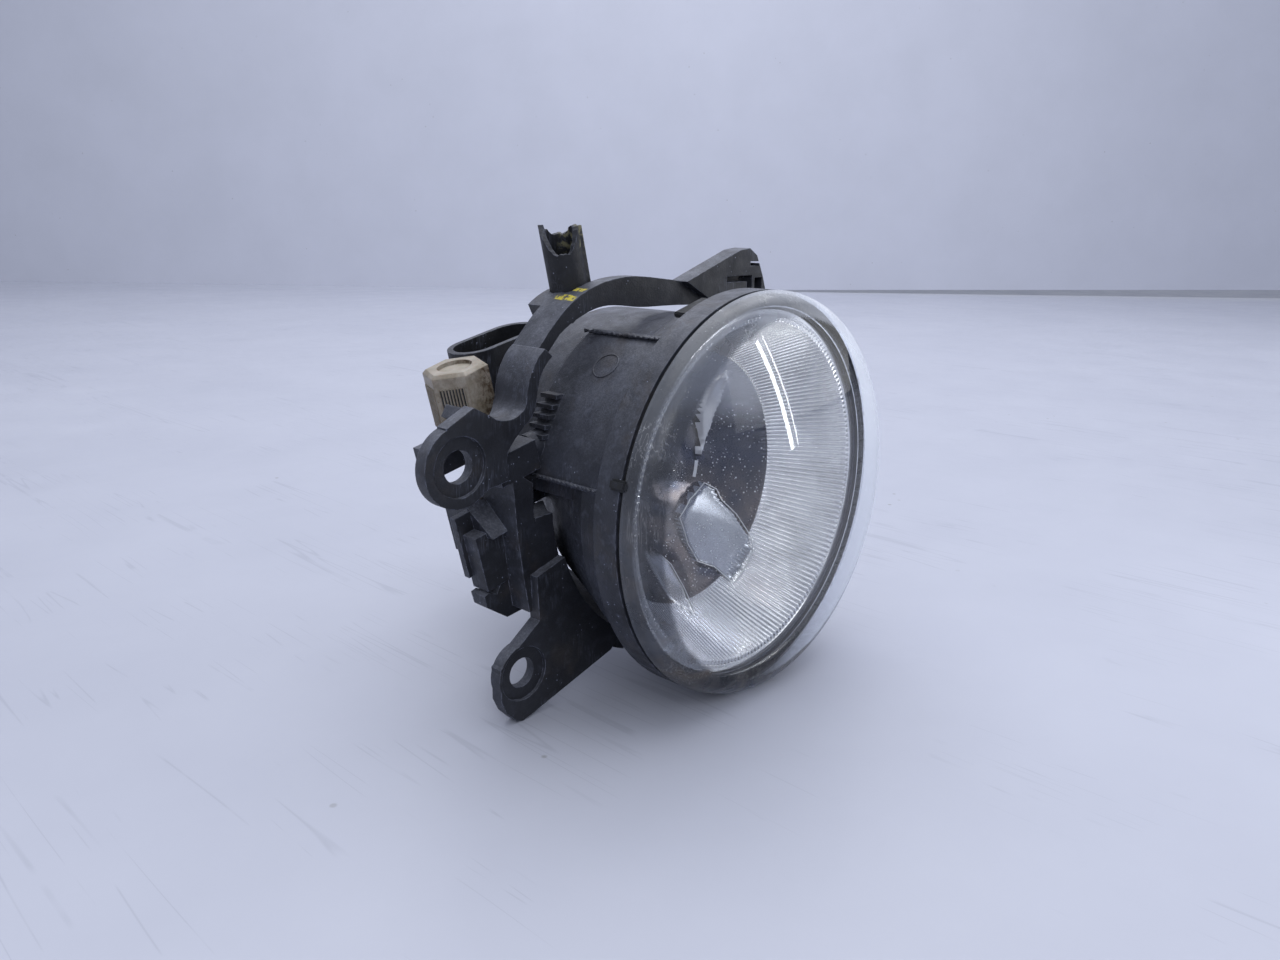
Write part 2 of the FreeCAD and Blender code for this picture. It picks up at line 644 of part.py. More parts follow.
RIGHT_EAR = (16.5, 24.8)
LEFT_ARM = [(28.6, 162.3), (23.6, 157.9), (19.8, 158.3), (16.7, 158.8), (13.6, 158.2), (11.6, 155.0),
            (9.4, 156.0), (11.8, 161.5), (13.0, 164.5), (11.5, 170.6), (15.9, 172), (21.5, 174.4)]
LOWER_ARM = [(22.6, -150.2), (9.3, -151.8), (6.0, -163), (-3.0, -163), (-8.0, -140), (-3.0, -118),
             (3.0, -121), (26.0, -137.4), (27.0, -138.8), (27.2, -142), (26.5, -144.7), (23.7, -148.4)]
RIGHT_ARM = [(5.2, 60), (8.5, 47.5), (15.5, 33.4), (9.2, 19.9), (3.9, 26.6), (3.0, 39.8), (1.8, 50),
             (1.6, 60)]
SIDE_WEB = [(9.5, 168.5), (8.0, 176), (7.5, -175.8), (7.8, -164), (9.5, -154), (6.0, -152.5),
            (-2.0, -158), (2.8, -178), (3.4, 172)]
WEB_SET = 2.0            # the web's front behind the plates' front
HOOK = [(15.0, -161.3), (13.6, -161.3), (11.9, -159.6), (8.7, -163.6), (3.0, -159.3), (2.7, -149.9),
        (7.4, -150.7), (11.9, -152.6), (14.2, -156.7), (15.2, -158.4)]
HOOK_FROM = 7.5
HOOK_LEN = 4.5
HORN = [(4.6, 88.0), (15.4, 68.0), (17.4, 64.6), (17.2, 61.2), (14.4, 56.4), (11.6, 51.6), (4.0, 49.0),
        (2.0, 60.0), (1.6, 77)]
HORN_LEN = 5.0
# Its recesses: place from the lug's last point, width, height and depth.
HORN_RECESSES = [(14.6, 1.6, 2.1, 2.4, HORN_LEN + OVER), (17.7, 0.2, 3.0, 4.0, 3.0),
                 (15.8, 7.0, 3.6, 1.1, 3.0), (6.6, 3.4, 10.0, 1.4, 2.6)]
TUBE_GAP = 10.3
TUBE_ANGLE = 120.2


def curve_through(points, y):
    curve = Part.BSplineCurve()
    curve.interpolate([V(x, y, z) for x, z in points])
    return curve


def strip(outer, inner, y0, y1):
    """Prism between two curves, closed by straight ends."""
    a, b = curve_through(outer, y0), curve_through(inner, y0)
    first = Part.LineSegment(V(outer[0][0], y0, outer[0][1]), V(inner[0][0], y0, inner[0][1]))
    last = Part.LineSegment(V(outer[-1][0], y0, outer[-1][1]), V(inner[-1][0], y0, inner[-1][1]))
    wire = Part.Wire([a.toShape(), last.toShape(), b.toShape(), first.toShape()])
    return Part.Face(wire).extrude(V(0, y1 - y0, 0))


def inward(points, depth):
    """Points moved off a line towards the lamp."""
    moved = []
    for i, (x, z) in enumerate(points):
        before, after = points[max(i - 1, 0)], points[min(i + 1, len(points) - 1)]
        dx, dz = after[0] - before[0], after[1] - before[1]
        length = math.hypot(dx, dz)
        moved.append((x + dz / length * depth, z - dx / length * depth))
    return moved


def plate_part(points, clear=CLEAR_R, y0=BRACKET_Y, y1=BRACKET_Y + PLATE_T):
    """Flat piece of the bracket, kept clear of the barrel."""
    return plate(ring(points), y0, y1).cut(rod(clear, V(0, y0 - OVER, 0), AXIS_Y, y1 - y0 + 2 * OVER))


def lower_clear_r():
    return bowl_outside(BRACKET_Y) + LOWER_GAP


def make_lower_hoop():
    """Ring segment that closes the bracket underneath the bowl, with an apron that follows it."""
    front, back = BRACKET_Y + HOOP_SET, BRACKET_Y + APRON_BACK
    band = sector(CLEAR_R, LOWER_FROM, LOWER_TO, front, BAND_BACK)
    inside = [(0, front - 1), (lower_clear_r(), front - 1), (lower_clear_r(), BRACKET_Y + LIP_W)]
    inside += [(bowl_outside(BAND_BACK) + LOWER_GAP, BAND_BACK), (bowl_outside(back) + LOWER_GAP, back)]
    apron = [(r + APRON_T, y) for r, y in inside[2:]]
    skirt = turned([(0, inside[2][1])] + apron + [(0, back)]).common(
        sector(LENS_R, APRON_FROM, LOWER_TO, front, back))
    return fuse(band, skirt).cut(turned(inside + [(inside[-1][0], back + 1), (0, back + 1)]))


def ear_disc(centre, radius):
    return disc(at(*centre), radius, BRACKET_Y, BRACKET_Y + PLATE_T)


def pivot_lug(end):
    mid = tilt_point(lug_face(end))
    reach = LUG_T + (LEFT_LUG_REACH if end < 0 else 0)
    x0, x1 = sorted((mid.x, mid.x + end * reach))
    block = box((x0, TILT_Y - LUG_FRONT, mid.z - LUG_H), (x1, TILT_Y + LUG_BACK, mid.z + LUG_H))
    return leaned(block, mid)


def carrier_box(low, high):
    """Box placed from the adjuster's axis, before it is leaned."""
    return box((ADJ_X + low[0], ADJ_Y + low[1], ADJ_Z + low[2]),
               (ADJ_X + high[0], ADJ_Y + high[1], ADJ_Z + high[2]))


def make_carrier():
    """Cage at the side of the bracket that holds the adjuster and its nut."""
    reach = NUT_HALF + CARRIER_CLEAR
    edge = reach + CARRIER_WALL
    case = carrier_box((-edge, -edge, FLOOR_AT - FLOOR_T), (reach, edge, CASE_TOP))
    shelf = carrier_box((-SHELF_REACH, -edge, SHELF_FROM), (SHELF_IN, SHELF_BACK, SHELF_TO))
    wall = carrier_box((-WALL_OUT, -edge, WALL_LOW), (-STEP_IN, -reach, CASE_TOP))
    step = carrier_box((-STEP_OUT, -STEP_FRONT, STEP_LOW), (-STEP_IN, -edge + 1, STEP_TOP))
    heel = carrier_box((-reach, -STEP_FRONT, STEP_LOW), (0, -reach, FLOOR_AT))
    hollow = carrier_box((-reach, -reach, FLOOR_AT), (reach + OVER, reach, CASE_TOP + OVER))
    whole = fuse(case, shelf, wall, step, heel, make_gusset(edge)).cut(hollow)
    return leaned(whole, adjuster_point(0))


def make_gusset(edge):
    x, y, z = ADJ_X - GUSSET_OUT, ADJ_Y - GUSSET_FRONT, ADJ_Z + STEP_TOP - 1
    corners = [V(x, y, z), V(x, ADJ_Y - edge + 1, z), V(x, ADJ_Y - edge + 1, z + GUSSET_H), V(x, y, z)]
    return Part.Face(Part.makePolygon(corners)).extrude(V(GUSSET_OUT - GUSSET_IN, 0, 0))


def make_saddle():
    """Dished sheet that joins the left ear to the hoop, narrowing towards the rear."""
    outline = ring(SADDLE)
    sheet = strip(outline, inward(outline, BAND_T), BRACKET_Y, BAND_BACK)
    (far_x, z), (near_x, _) = outline[0], outline[4]
    trim = Part.makePolygon([V(far_x, BRACKET_Y, z - LENS_R), V(near_x, BAND_BACK, z - LENS_R),
                             V(far_x, BAND_BACK, z - LENS_R), V(far_x, BRACKET_Y, z - LENS_R)])
    return sheet.cut(Part.Face(trim).extrude(V(0, 0, 2 * LENS_R)))


def make_bracket():
    hoop_out = ring(HOOP_OUT)
    hoop_front = BRACKET_Y + HOOP_SET
    lip = strip(hoop_out, ring(HOOP_IN), hoop_front, hoop_front + LIP_W)
    band = strip(hoop_out, inward(hoop_out, BAND_T), hoop_front, BAND_BACK).cut(
        sector(2 * LENS_R, CREST_FROM, CREST_TO, BRACKET_Y + CREST_W, BAND_BACK + OVER))
    pad_out = ring(PAD_OUT)
    pad = strip(pad_out, inward(pad_out, PAD_T), hoop_front, BRACKET_Y + PAD_W)
    ears = [ear_disc(LEFT_EAR, EAR_R), ear_disc(LOWER_EAR, LOWER_EAR_R), ear_disc(RIGHT_EAR, EAR_R)]
    arms = [plate_part(LEFT_ARM), plate_part(LOWER_ARM, lower_clear_r()), plate_part(RIGHT_ARM)]
    web_back = ADJ_Y - NUT_HALF - CARRIER_CLEAR
    web = plate_part(SIDE_WEB, lower_clear_r(), BRACKET_Y + WEB_SET, web_back)
    hook = plate(ring(HOOK), BRACKET_Y + HOOK_FROM, BRACKET_Y + HOOK_FROM + HOOK_LEN)
    horn = plate(ring(HORN), BRACKET_Y, BRACKET_Y + HORN_LEN)
    shape = fuse(lip, band, pad, web, hook, horn, make_saddle(), make_carrier(), make_lower_hoop(),
                 pivot_lug(-1), pivot_lug(1), *(ears + arms))
    return cut(shape, *(bracket_holes() + horn_recesses()))


def horn_recesses():
    """Window, pocket, slot and groove cut in the raised lug."""
    x, z = at(*HORN[-1])
    return [box((x + dx, BRACKET_Y - OVER, z + dz), (x + dx + width, BRACKET_Y + depth, z + dz + height))
            for dx, dz, width, height, depth in HORN_RECESSES]


def tube_foot():
    x, z = at(TUBE_GAP, TUBE_ANGLE)
    return V(x, BAND_BACK, z) - UP * TUBE_SUNK


def bracket_holes():
    holes = []
    for centre in (LEFT_EAR, LOWER_EAR, RIGHT_EAR):
        holes.append(disc(at(*centre), HOLE_R, BRACKET_Y - OVER, BRACKET_Y + PLATE_T + OVER))
        holes.append(disc(at(*centre), SEAT_R, BRACKET_Y - OVER, BRACKET_Y + SEAT_DEPTH))
    for end in (-1, 1):
        holes.append(rod(PIVOT_R + PIVOT_FIT, tilt_point(lug_face(end) - end), SIDE * end,
                         LUG_T - LUG_BLIND + 1))
    holes.append(rod(SHANK_R + SHANK_FIT, adjuster_point(SHELF_FROM - OVER), UP,
                     SHELF_TO - SHELF_FROM + 2 * OVER))
    holes.append(rod(JOURNAL_R + SHANK_FIT, adjuster_point(FLOOR_AT - JOURNAL_LEN - END_PLAY), UP,
                     JOURNAL_LEN + END_PLAY + OVER))
    holes.append(rod(TUBE_R, tube_foot(), UP, TUBE_SUNK + TUBE_CLEAR))
    return holes


def make_guide_tube():
    foot = tube_foot()
    tube = rod(TUBE_R, foot, UP, TUBE_SUNK + TUBE_HIGH)
    a = math.radians(TUBE_RIB_ROUND)
    rib_at = foot + V(TUBE_R * math.cos(a), TUBE_R * math.sin(a), 0) + UP * (TUBE_SUNK + TUBE_RIB_FROM)
    tube = fuse(tube, rod(TUBE_RIB_R, rib_at, UP, TUBE_HIGH - TUBE_RIB_SHORT))
    tube = tube.cut(rod(TUBE_BORE, foot - UP * OVER, UP, TUBE_SUNK + TUBE_HIGH + 2 * OVER))
    slope = math.atan2(TUBE_HIGH - TUBE_LOW, 2 * TUBE_R)
    a = math.radians(TUBE_FACING)
    low_side = V(-math.cos(a), -math.sin(a), 0)
    middle = foot + UP * (TUBE_SUNK + (TUBE_HIGH + TUBE_LOW) / 2)
    return tube.cut(rod(30, middle, UP * math.cos(slope) + low_side * math.sin(slope), 30))


# ---------------------------------------------------------------- adjuster
def hexagon(across, z0, z1, centre):
    r = across / math.sqrt(3)
    corners = [math.radians(60 * i + KNOB_TURN) for i in range(6)]
    points = [V(centre[0] + r * math.cos(a), centre[1] + r * math.sin(a), z0) for a in corners]
    return Part.Face(Part.makePolygon(points + points[:1])).extrude(V(0, 0, z1 - z0))


def make_adjuster():
    knob = hexagon(KNOB_AF, ADJ_Z + KNOB_FROM, ADJ_Z + KNOB_TO, (ADJ_X, ADJ_Y))
    edges = [e for e in knob.Edges if e.BoundBox.ZMin > ADJ_Z + KNOB_TO - 0.01]
    knob = leaned(knob.makeChamfer(KNOB_EDGE, edges), adjuster_point(0))
    knob = knob.cut(rod(KNOB_DISH_R, adjuster_point(KNOB_TO - KNOB_DISH), UP, 2))
    clip_top = SHELF_FROM - CLIP_GAP
    clip_low = clip_top - CLIP_T
    shank = rod(SHANK_R, adjuster_point(clip_top), UP, KNOB_FROM - clip_top + 1)
    groove = rod(CLIP_GROOVE_R, adjuster_point(clip_low), UP, CLIP_T)
    thread = rod(THREAD_R, adjuster_point(FLOOR_AT + THREAD_PLAY), UP, clip_low - FLOOR_AT - THREAD_PLAY)
    journal = rod(JOURNAL_R, adjuster_point(FLOOR_AT - JOURNAL_LEN), UP, JOURNAL_LEN + 1)
    return fuse(knob, shank, groove, thread, journal)


def make_washer():
    washer = rod(WASHER_R, adjuster_point(KNOB_FROM - WASHER_T), UP, WASHER_T)
    return washer.cut(rod(SHANK_R, adjuster_point(SHELF_FROM), UP, KNOB_FROM - SHELF_FROM + 1))


def make_clip():
    """Spring clip in the screw's groove, under the shelf."""
    foot = adjuster_point(SHELF_FROM - CLIP_GAP - CLIP_T)
    clip = rod(CLIP_R, foot, UP, CLIP_T).cut(rod(CLIP_GROOVE_R, foot - UP, UP, CLIP_T + 2))
    z = ADJ_Z + SHELF_FROM
    gap = box((ADJ_X, ADJ_Y - CLIP_MOUTH / 2, z - 5), (ADJ_X + 2 * CLIP_R, ADJ_Y + CLIP_MOUTH / 2, z + 2))
    return clip.cut(leaned(gap, adjuster_point(0)))


def make_nut():
    block = box((ADJ_X - NUT_HALF, ADJ_Y - NUT_HALF, ADJ_Z - NUT_H),
                (ADJ_X + NUT_HALF, ADJ_Y + NUT_HALF, ADJ_Z + NUT_H))
    upright = [e for e in block.Edges if abs(e.tangentAt(e.FirstParameter).z) > 0.9]
    pin = rod(NUT_PIN_R, V(ADJ_X + NUT_HALF - 1, ADJ_Y, ADJ_Z), V(1, 0, 0), NUT_PIN_LEN + 1)
    nut = leaned(fuse(block.makeChamfer(NUT_CHAMFER, upright), pin), adjuster_point(0))
    return nut.cut(rod(THREAD_R + THREAD_FIT, adjuster_point(-NUT_H - OVER), UP, 2 * (NUT_H + OVER)))


PIECES = {
    "lens": make_lens,
    "lens_seal": make_seal,
    "housing": make_housing,
    "reflector": make_reflector,
    "bulb_glass": make_bulb_glass,
    "bulb_filament": make_filament,
    "bulb_lead_wires": make_lead_wires,
    "bulb_collar": make_collar,
    "bulb_holder": make_holder,
    "bulb_ring_seal": make_ring_seal,
    "connector_terminals": make_terminals,
    "vent_cap": make_vent_cap,
    "vent_filter": make_vent_filter,
    "pivot_pins": make_pivot_pins,
    "bracket": make_bracket,
    "guide_tube": make_guide_tube,
    "adjuster_screw": make_adjuster,
    "adjuster_washer": make_washer,
    "adjuster_clip": make_clip,
    "adjuster_nut": make_nut,
}

os.makedirs("parts", exist_ok=True)
for name, make in PIECES.items():
    piece = make()
    export(name, piece)
    print(name, "solids", len(piece.Solids), "volume", round(piece.Volume, 1), "valid", piece.isValid())
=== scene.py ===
import math

import bmesh
import bpy
from mathutils import Matrix, Vector, noise


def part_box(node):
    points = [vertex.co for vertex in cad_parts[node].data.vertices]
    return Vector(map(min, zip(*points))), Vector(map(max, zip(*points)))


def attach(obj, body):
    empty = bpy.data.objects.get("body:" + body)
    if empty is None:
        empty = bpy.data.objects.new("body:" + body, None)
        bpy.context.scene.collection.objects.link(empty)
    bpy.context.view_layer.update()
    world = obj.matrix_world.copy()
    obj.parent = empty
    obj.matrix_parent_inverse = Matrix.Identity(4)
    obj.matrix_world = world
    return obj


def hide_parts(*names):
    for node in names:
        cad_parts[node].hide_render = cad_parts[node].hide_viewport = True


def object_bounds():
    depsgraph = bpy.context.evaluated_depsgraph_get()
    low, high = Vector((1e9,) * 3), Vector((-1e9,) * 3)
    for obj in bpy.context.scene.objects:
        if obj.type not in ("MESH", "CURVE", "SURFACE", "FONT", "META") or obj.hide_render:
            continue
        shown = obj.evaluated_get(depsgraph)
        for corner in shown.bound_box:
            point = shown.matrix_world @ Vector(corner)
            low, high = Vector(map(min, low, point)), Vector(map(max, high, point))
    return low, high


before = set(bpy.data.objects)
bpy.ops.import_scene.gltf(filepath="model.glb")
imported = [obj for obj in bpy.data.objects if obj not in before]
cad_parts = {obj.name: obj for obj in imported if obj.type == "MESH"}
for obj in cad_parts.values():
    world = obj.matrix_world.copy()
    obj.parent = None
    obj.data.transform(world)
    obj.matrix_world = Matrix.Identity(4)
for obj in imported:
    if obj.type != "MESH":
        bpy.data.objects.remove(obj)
CAD_BOX = [list(corner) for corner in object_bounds()]

# A round fog lamp in its bracket, lying on a pale table. Metres; the optical axis is Y and the
# lens faces -Y. Places come from the CAD nodes' boxes.
MM = 0.001

_, LENS_HIGH = (Vector(c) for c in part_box("lens"))
LENS_R = LENS_HIGH.x
RIM_Y = LENS_HIGH.y                  # rear rim of the lens
CORNER = 7.0 * MM                    # radius of the lens's rounded shoulder
SLOPE = math.radians(14.0)           # angle of the dome where it meets the shoulder
LENS_WALL = 3.6 * MM
LEAN = math.radians(13.5)            # the lamp's fitted upright leans by this about Y
UP = Vector((-math.sin(LEAN), 0, math.cos(LEAN)))
SIDE = Vector((math.cos(LEAN), 0, math.sin(LEAN)))
FLOOR_Z = CAD_BOX[0][2]


# ------------------------------------------------------------------ camera and area lights
# Fitted to the round lens edge and the housing's seam.
CAM_AT = Vector((-0.169158, -0.123487, 0.058630))
CAM_AZIMUTH = math.radians(-47.3543)
CAM_PITCH = math.radians(15.0964)
CAM_ROLL = math.radians(0.8173)
CAM_LENS = 27.03
SENSOR = 36.0


def camera_axes():
    flat = math.cos(CAM_PITCH)
    ahead = Vector((-math.sin(CAM_AZIMUTH) * flat, math.cos(CAM_AZIMUTH) * flat,
                    -math.sin(CAM_PITCH)))
    right = Vector((math.cos(CAM_AZIMUTH), math.sin(CAM_AZIMUTH), 0))
    up = right.cross(ahead)
    cos_r, sin_r = math.cos(CAM_ROLL), math.sin(CAM_ROLL)
    return ahead, right * cos_r + up * sin_r, up * cos_r - right * sin_r


def add_camera():
    ahead, right, up = camera_axes()
    data = bpy.data.cameras.new("camera")
    data.sensor_width = SENSOR
    data.lens = CAM_LENS
    data.clip_start = 0.01
    data.clip_end = 20.0
    camera = bpy.data.objects.new("camera", data)
    bpy.context.scene.collection.objects.link(camera)
    turn = Matrix((right, up, -ahead)).transposed().to_4x4()
    camera.matrix_world = Matrix.Translation(CAM_AT) @ turn
    bpy.context.scene.camera = camera


def area_light(name, at, towards, size, watts, colour, size_y=None):
    data = bpy.data.lights.new(name, "AREA")
    data.energy = watts
    data.color = colour
    data.size = size
    if size_y is not None:
        data.shape = "RECTANGLE"
        data.size_y = size_y
    light = bpy.data.objects.new(name, data)
    light.location = at
    light.rotation_euler = (Vector(towards) - Vector(at)).to_track_quat("-Z", "Y").to_euler()
    bpy.context.scene.collection.objects.link(light)
    return light


# ------------------------------------------------------------------ node materials
class Paint:
    """Builds one node material; every pattern reads the object's own coordinates."""

    def __init__(self, name):
        self.mat = bpy.data.materials.new(name)
        self.mat.use_nodes = True
        self.tree = self.mat.node_tree
        self.shader = self.tree.nodes["Principled BSDF"]
        self.output = self.tree.nodes["Material Output"]
        self.coords = self.add("ShaderNodeTexCoord").outputs["Object"]

    def add(self, kind, **settings):
        node = self.tree.nodes.new(kind)
        for key, value in settings.items():
            setattr(node, key, value)
        return node

    def wire(self, value, socket):
        if isinstance(value, bpy.types.NodeSocket):
            self.tree.links.new(value, socket)
        else:
            socket.default_value = value

    def place(self, stretch, turn):
        node = self.add("ShaderNodeMapping")
        self.wire(self.coords, node.inputs["Vector"])
        node.inputs["Scale"].default_value = stretch
        node.inputs["Rotation"].default_value = turn
        return node.outputs[0]

    def noise(self, size, detail=4.0, rough=0.55, vector=None, warp=0.0):
        """Noise whose blotches are about this many metres across."""
        node = self.add("ShaderNodeTexNoise")
        self.wire(vector or self.coords, node.inputs["Vector"])
        node.inputs["Scale"].default_value = 1.0 / size
        node.inputs["Detail"].default_value = detail
        node.inputs["Roughness"].default_value = rough
        node.inputs["Distortion"].default_value = warp
        return node.outputs["Fac"]

    def cells(self, size):
        """Distance to the middle of the nearest of cells about this many metres across."""
        node = self.add("ShaderNodeTexVoronoi")
        self.wire(self.coords, node.inputs["Vector"])
        node.inputs["Scale"].default_value = 1.0 / size
        return node.outputs["Distance"]

    def remap(self, value, low, high, to_low=0.0, to_high=1.0, smooth=False):
        node = self.add("ShaderNodeMapRange")
        node.interpolation_type = "SMOOTHSTEP" if smooth else "LINEAR"
        node.clamp = True
        for socket, x in zip(node.inputs, (value, low, high, to_low, to_high)):
            self.wire(x, socket)
        return node.outputs[0]

    def math(self, operation, a, b=0.0, clamp=False):
        node = self.add("ShaderNodeMath", operation=operation)
        node.use_clamp = clamp
        self.wire(a, node.inputs[0])
        self.wire(b, node.inputs[1])
        return node.outputs[0]

    def mix(self, factor, a, b):
        """Mix of two colours, all of the second where the factor is 1."""
        node = self.add("ShaderNodeMix", data_type="RGBA")
        self.wire(factor, node.inputs[0])
        self.wire(a, node.inputs[6])
        self.wire(b, node.inputs[7])
        return node.outputs[2]

    def split(self, vector=None):
        node = self.add("ShaderNodeSeparateXYZ")
        self.wire(vector or self.coords, node.inputs[0])
        return node.outputs

    def gleam(self, ior):
        """Fresnel reflection of the outer skin only; the inner skin lets everything through."""
        fresnel = self.add("ShaderNodeFresnel")
        fresnel.inputs["IOR"].default_value = ior
        inner = self.add("ShaderNodeNewGeometry").outputs["Backfacing"]
        return self.math("MULTIPLY", fresnel.outputs[0], self.math("SUBTRACT", 1.0, inner))

    def axis_distance(self):
        """Distance from the optical axis."""
        x, _, z = self.split()
        squares = self.math("ADD", self.math("MULTIPLY", x, x), self.math("MULTIPLY", z, z))
        return self.math("SQRT", squares)

    def facing_up(self):
        node = self.add("ShaderNodeNewGeometry")
        return self.split(node.outputs["Normal"])[2]

    def edges(self, radius):
        """1 on convex and concave corners and 0 on open faces, and the rounded normal."""
        bevel = self.add("ShaderNodeBevel", samples=6)
        bevel.inputs["Radius"].default_value = radius
        flat = self.add("ShaderNodeNewGeometry")
        dot = self.add("ShaderNodeVectorMath", operation="DOT_PRODUCT")
        self.wire(bevel.outputs[0], dot.inputs[0])
        self.wire(flat.outputs["Normal"], dot.inputs[1])
        return self.remap(dot.outputs["Value"], 0.985, 0.86, 0.0, 1.0), bevel.outputs[0]

    def bump(self, height, distance, strength=1.0, normal=None):
        node = self.add("ShaderNodeBump")
        node.inputs["Strength"].default_value = strength
        node.inputs["Distance"].default_value = distance
        self.wire(height, node.inputs["Height"])
        if normal is not None:
            self.wire(normal, node.inputs["Normal"])
        return node.outputs[0]

    def scratches(self, size, turn, thin=0.02):
        """Fine lines along one direction, broken up so that only some show."""
        stretched = self.place((1, 1, 0.06), turn)
        line = self.noise(size, 2.0, 0.5, stretched)
        near = self.math("ABSOLUTE", self.math("SUBTRACT", line, 0.5))
        shown = self.remap(near, thin, 0.0)
        patch = self.remap(self.noise(9 * MM, 2.0), 0.52, 0.62)
        return self.math("MULTIPLY", shown, patch)

    def finish(self, colour, rough, normal=None, **constants):
        self.wire(colour, self.shader.inputs["Base Color"])
        self.wire(rough, self.shader.inputs["Roughness"])
        if normal is not None:
            self.wire(normal, self.shader.inputs["Normal"])
        for name, value in constants.items():
            self.shader.inputs[name.replace("_", " ")].default_value = value
        return self.mat

    def plain(self, kind, colour):
        """A one-colour shader such as Transparent, Translucent or Diffuse."""
        node = self.add("ShaderNodeBsdf" + kind)
        self.wire(colour, node.inputs["Color"])
        return node.outputs[0]

    def blend(self, factor, first, second):
        """Mix of two shaders, all of the second where the factor is 1."""
        node = self.add("ShaderNodeMixShader")
        for socket, value in zip(node.inputs, (factor, first, second)):
            self.wire(value, socket)
        return node.outputs[0]

    def surface(self, shader):
        self.wire(shader, self.output.inputs["Surface"])
        return self.mat


def grey(level, tint=(1, 1, 1)):
    return (level * tint[0], level * tint[1], level * tint[2], 1)


COOL = (0.84, 0.92, 1.24)            # bluish tint of the greys
DUST = grey(0.34, (0.93, 0.98, 1.18))
EARTH = (0.060, 0.048, 0.040, 1)
KNOB_SHADE_AND_DIRT = (0.085, 0.055, 0.032, 1)
LENS_DIRT = (0.070, 0.058, 0.046, 1)
RUST = (0.18, 0.12, 0.08, 1)
YELLOW = (0.66, 0.56, 0.08, 1)
GLASS_IOR = 1.5
# Strokes of yellow paint in mm: middle and half width in X, front and rear end in Y.
YELLOW_STROKES = ((-30.6, 0.95, 22.5, 28.6), (-27.4, 0.8, 22.8, 29.6))
PAD_Z, PAD_TOP_Z = 0.040, 0.0412     # the bracket's pad, which carries them


def moulded_plastic(name, dark, light, dust_level, grain, edge_light, gloss, front=1.0, marks=None):
    """Scuffed moulded plastic, dusty on its upper faces and pale at its worn corners, which also
    carry a painted edge highlight.

    front darkens the faces turned to -Y as painted shade, and marks paints extra strokes.
    """
    p = Paint(name)
    base = p.mix(p.remap(p.noise(14 * MM, 5.0), 0.35, 0.68), grey(dark, COOL), grey(light, COOL))
    mottled = p.mix(p.remap(p.noise(2.2 * MM, 4.0), 0.55, 0.75), base, grey(light * 1.5, COOL))
    facing = p.add("ShaderNodeNewGeometry").outputs["Normal"]
    # Painted shade: faces turned to -Y are darkened towards near black by the front factor.
    front_shade = p.remap(p.split(facing)[1], -0.95, -0.55, front, 1.0)
    shaded = p.mix(front_shade, grey(0.004, COOL), mottled)
    upward = p.remap(p.facing_up(), 0.05, 0.95)
    dust_patch = p.remap(p.noise(6 * MM, 6.0, 0.65, warp=0.6), 0.36, 0.62)
    fine = p.remap(p.noise(0.5 * MM, 3.0, 0.7), 0.45, 0.62)
    dust = p.math("MULTIPLY", upward, p.math("ADD", 0.35, p.math("MULTIPLY", dust_patch, 0.65)))
    dusted = p.math("MULTIPLY", dust, p.math("ADD", 0.55, p.math("MULTIPLY", fine, 0.45)))
    dusty = p.mix(p.math("MULTIPLY", dusted, dust_level), shaded, DUST)
    stain = p.remap(p.noise(10 * MM, 5.0, 0.6, warp=0.5), 0.56, 0.70)
    earthy = p.mix(p.math("MULTIPLY", stain, 0.35), dusty, EARTH)
    spots = p.math("MULTIPLY", p.remap(p.cells(1.3 * MM), 0.13, 0.07),
                   p.remap(p.noise(8 * MM, 2.0), 0.52, 0.62))
    specked = p.mix(p.math("MULTIPLY", spots, 0.8), earthy, grey(0.42, COOL))
    # Pale corners: wear in patches, and a painted edge highlight.
    edge, rounded = p.edges(0.32 * MM)
    worn = p.math("MULTIPLY", edge, p.remap(p.noise(1.6 * MM, 3.0), 0.42, 0.6))
    lit_edges = p.mix(p.math("MULTIPLY", worn, edge_light), specked, grey(0.30, COOL))
    lines = p.math("MAXIMUM", p.scratches(1.1 * MM, (0.5, 0.3, 0.2)),
                   p.scratches(0.8 * MM, (1.3, 0.2, 1.1)))
    colour = p.mix(p.math("MULTIPLY", lines, 0.22), lit_edges, grey(0.26, COOL))
    if marks:
        colour = marks(p, colour)
    rough = p.remap(p.noise(4 * MM, 5.0), 0.3, 0.7, gloss, gloss + 0.25)
    height = p.math("ADD", p.noise(grain, 3.0, 0.6),
                    p.math("MULTIPLY", p.noise(3.0 * MM, 3.0), 1.2))
    return p.finish(colour, rough, p.bump(height, 0.10 * MM, 0.8, rounded), IOR=1.45)


def yellow_marks(p, colour):
    """Two strokes of worn yellow paint across the pad behind the hoop's crest."""
    x, y, z = p.split()
    across = p.math("ADD", x, p.math("MULTIPLY", p.noise(2.5 * MM, 3.0), 1.0 * MM))
    shown = 0.0
    for middle, half, front, back in YELLOW_STROKES:
        near = p.math("ABSOLUTE", p.math("SUBTRACT", across, middle * MM))
        stroke = p.remap(near, half * MM, (half - 0.25) * MM)
        along = p.math("MULTIPLY", p.remap(y, (front - 0.3) * MM, front * MM),
                       p.remap(y, back * MM, (back - 0.5) * MM))
        shown = p.math("MAXIMUM", shown, p.math("MULTIPLY", stroke, along))
    worn = p.remap(p.noise(1.3 * MM, 5.0, 0.7), 0.42, 0.50)
    mask = p.math("MULTIPLY", p.math("MULTIPLY", shown, p.remap(z, PAD_Z, PAD_TOP_Z)), worn)
    return p.mix(mask, colour, YELLOW)


def tube_marks(p, colour):
    """Yellowish smear high on the tube's outer ridge."""
    x, _, z = p.split()
    ridge = p.math("MULTIPLY", p.remap(x, -0.0268, -0.0258), p.remap(z, 0.0515, 0.0535))
    mask = p.math("MULTIPLY", ridge, p.remap(p.noise(1.2 * MM, 4.0), 0.46, 0.58))
    return p.mix(p.math("MULTIPLY", mask, 0.55), colour, (0.33, 0.31, 0.18, 1))


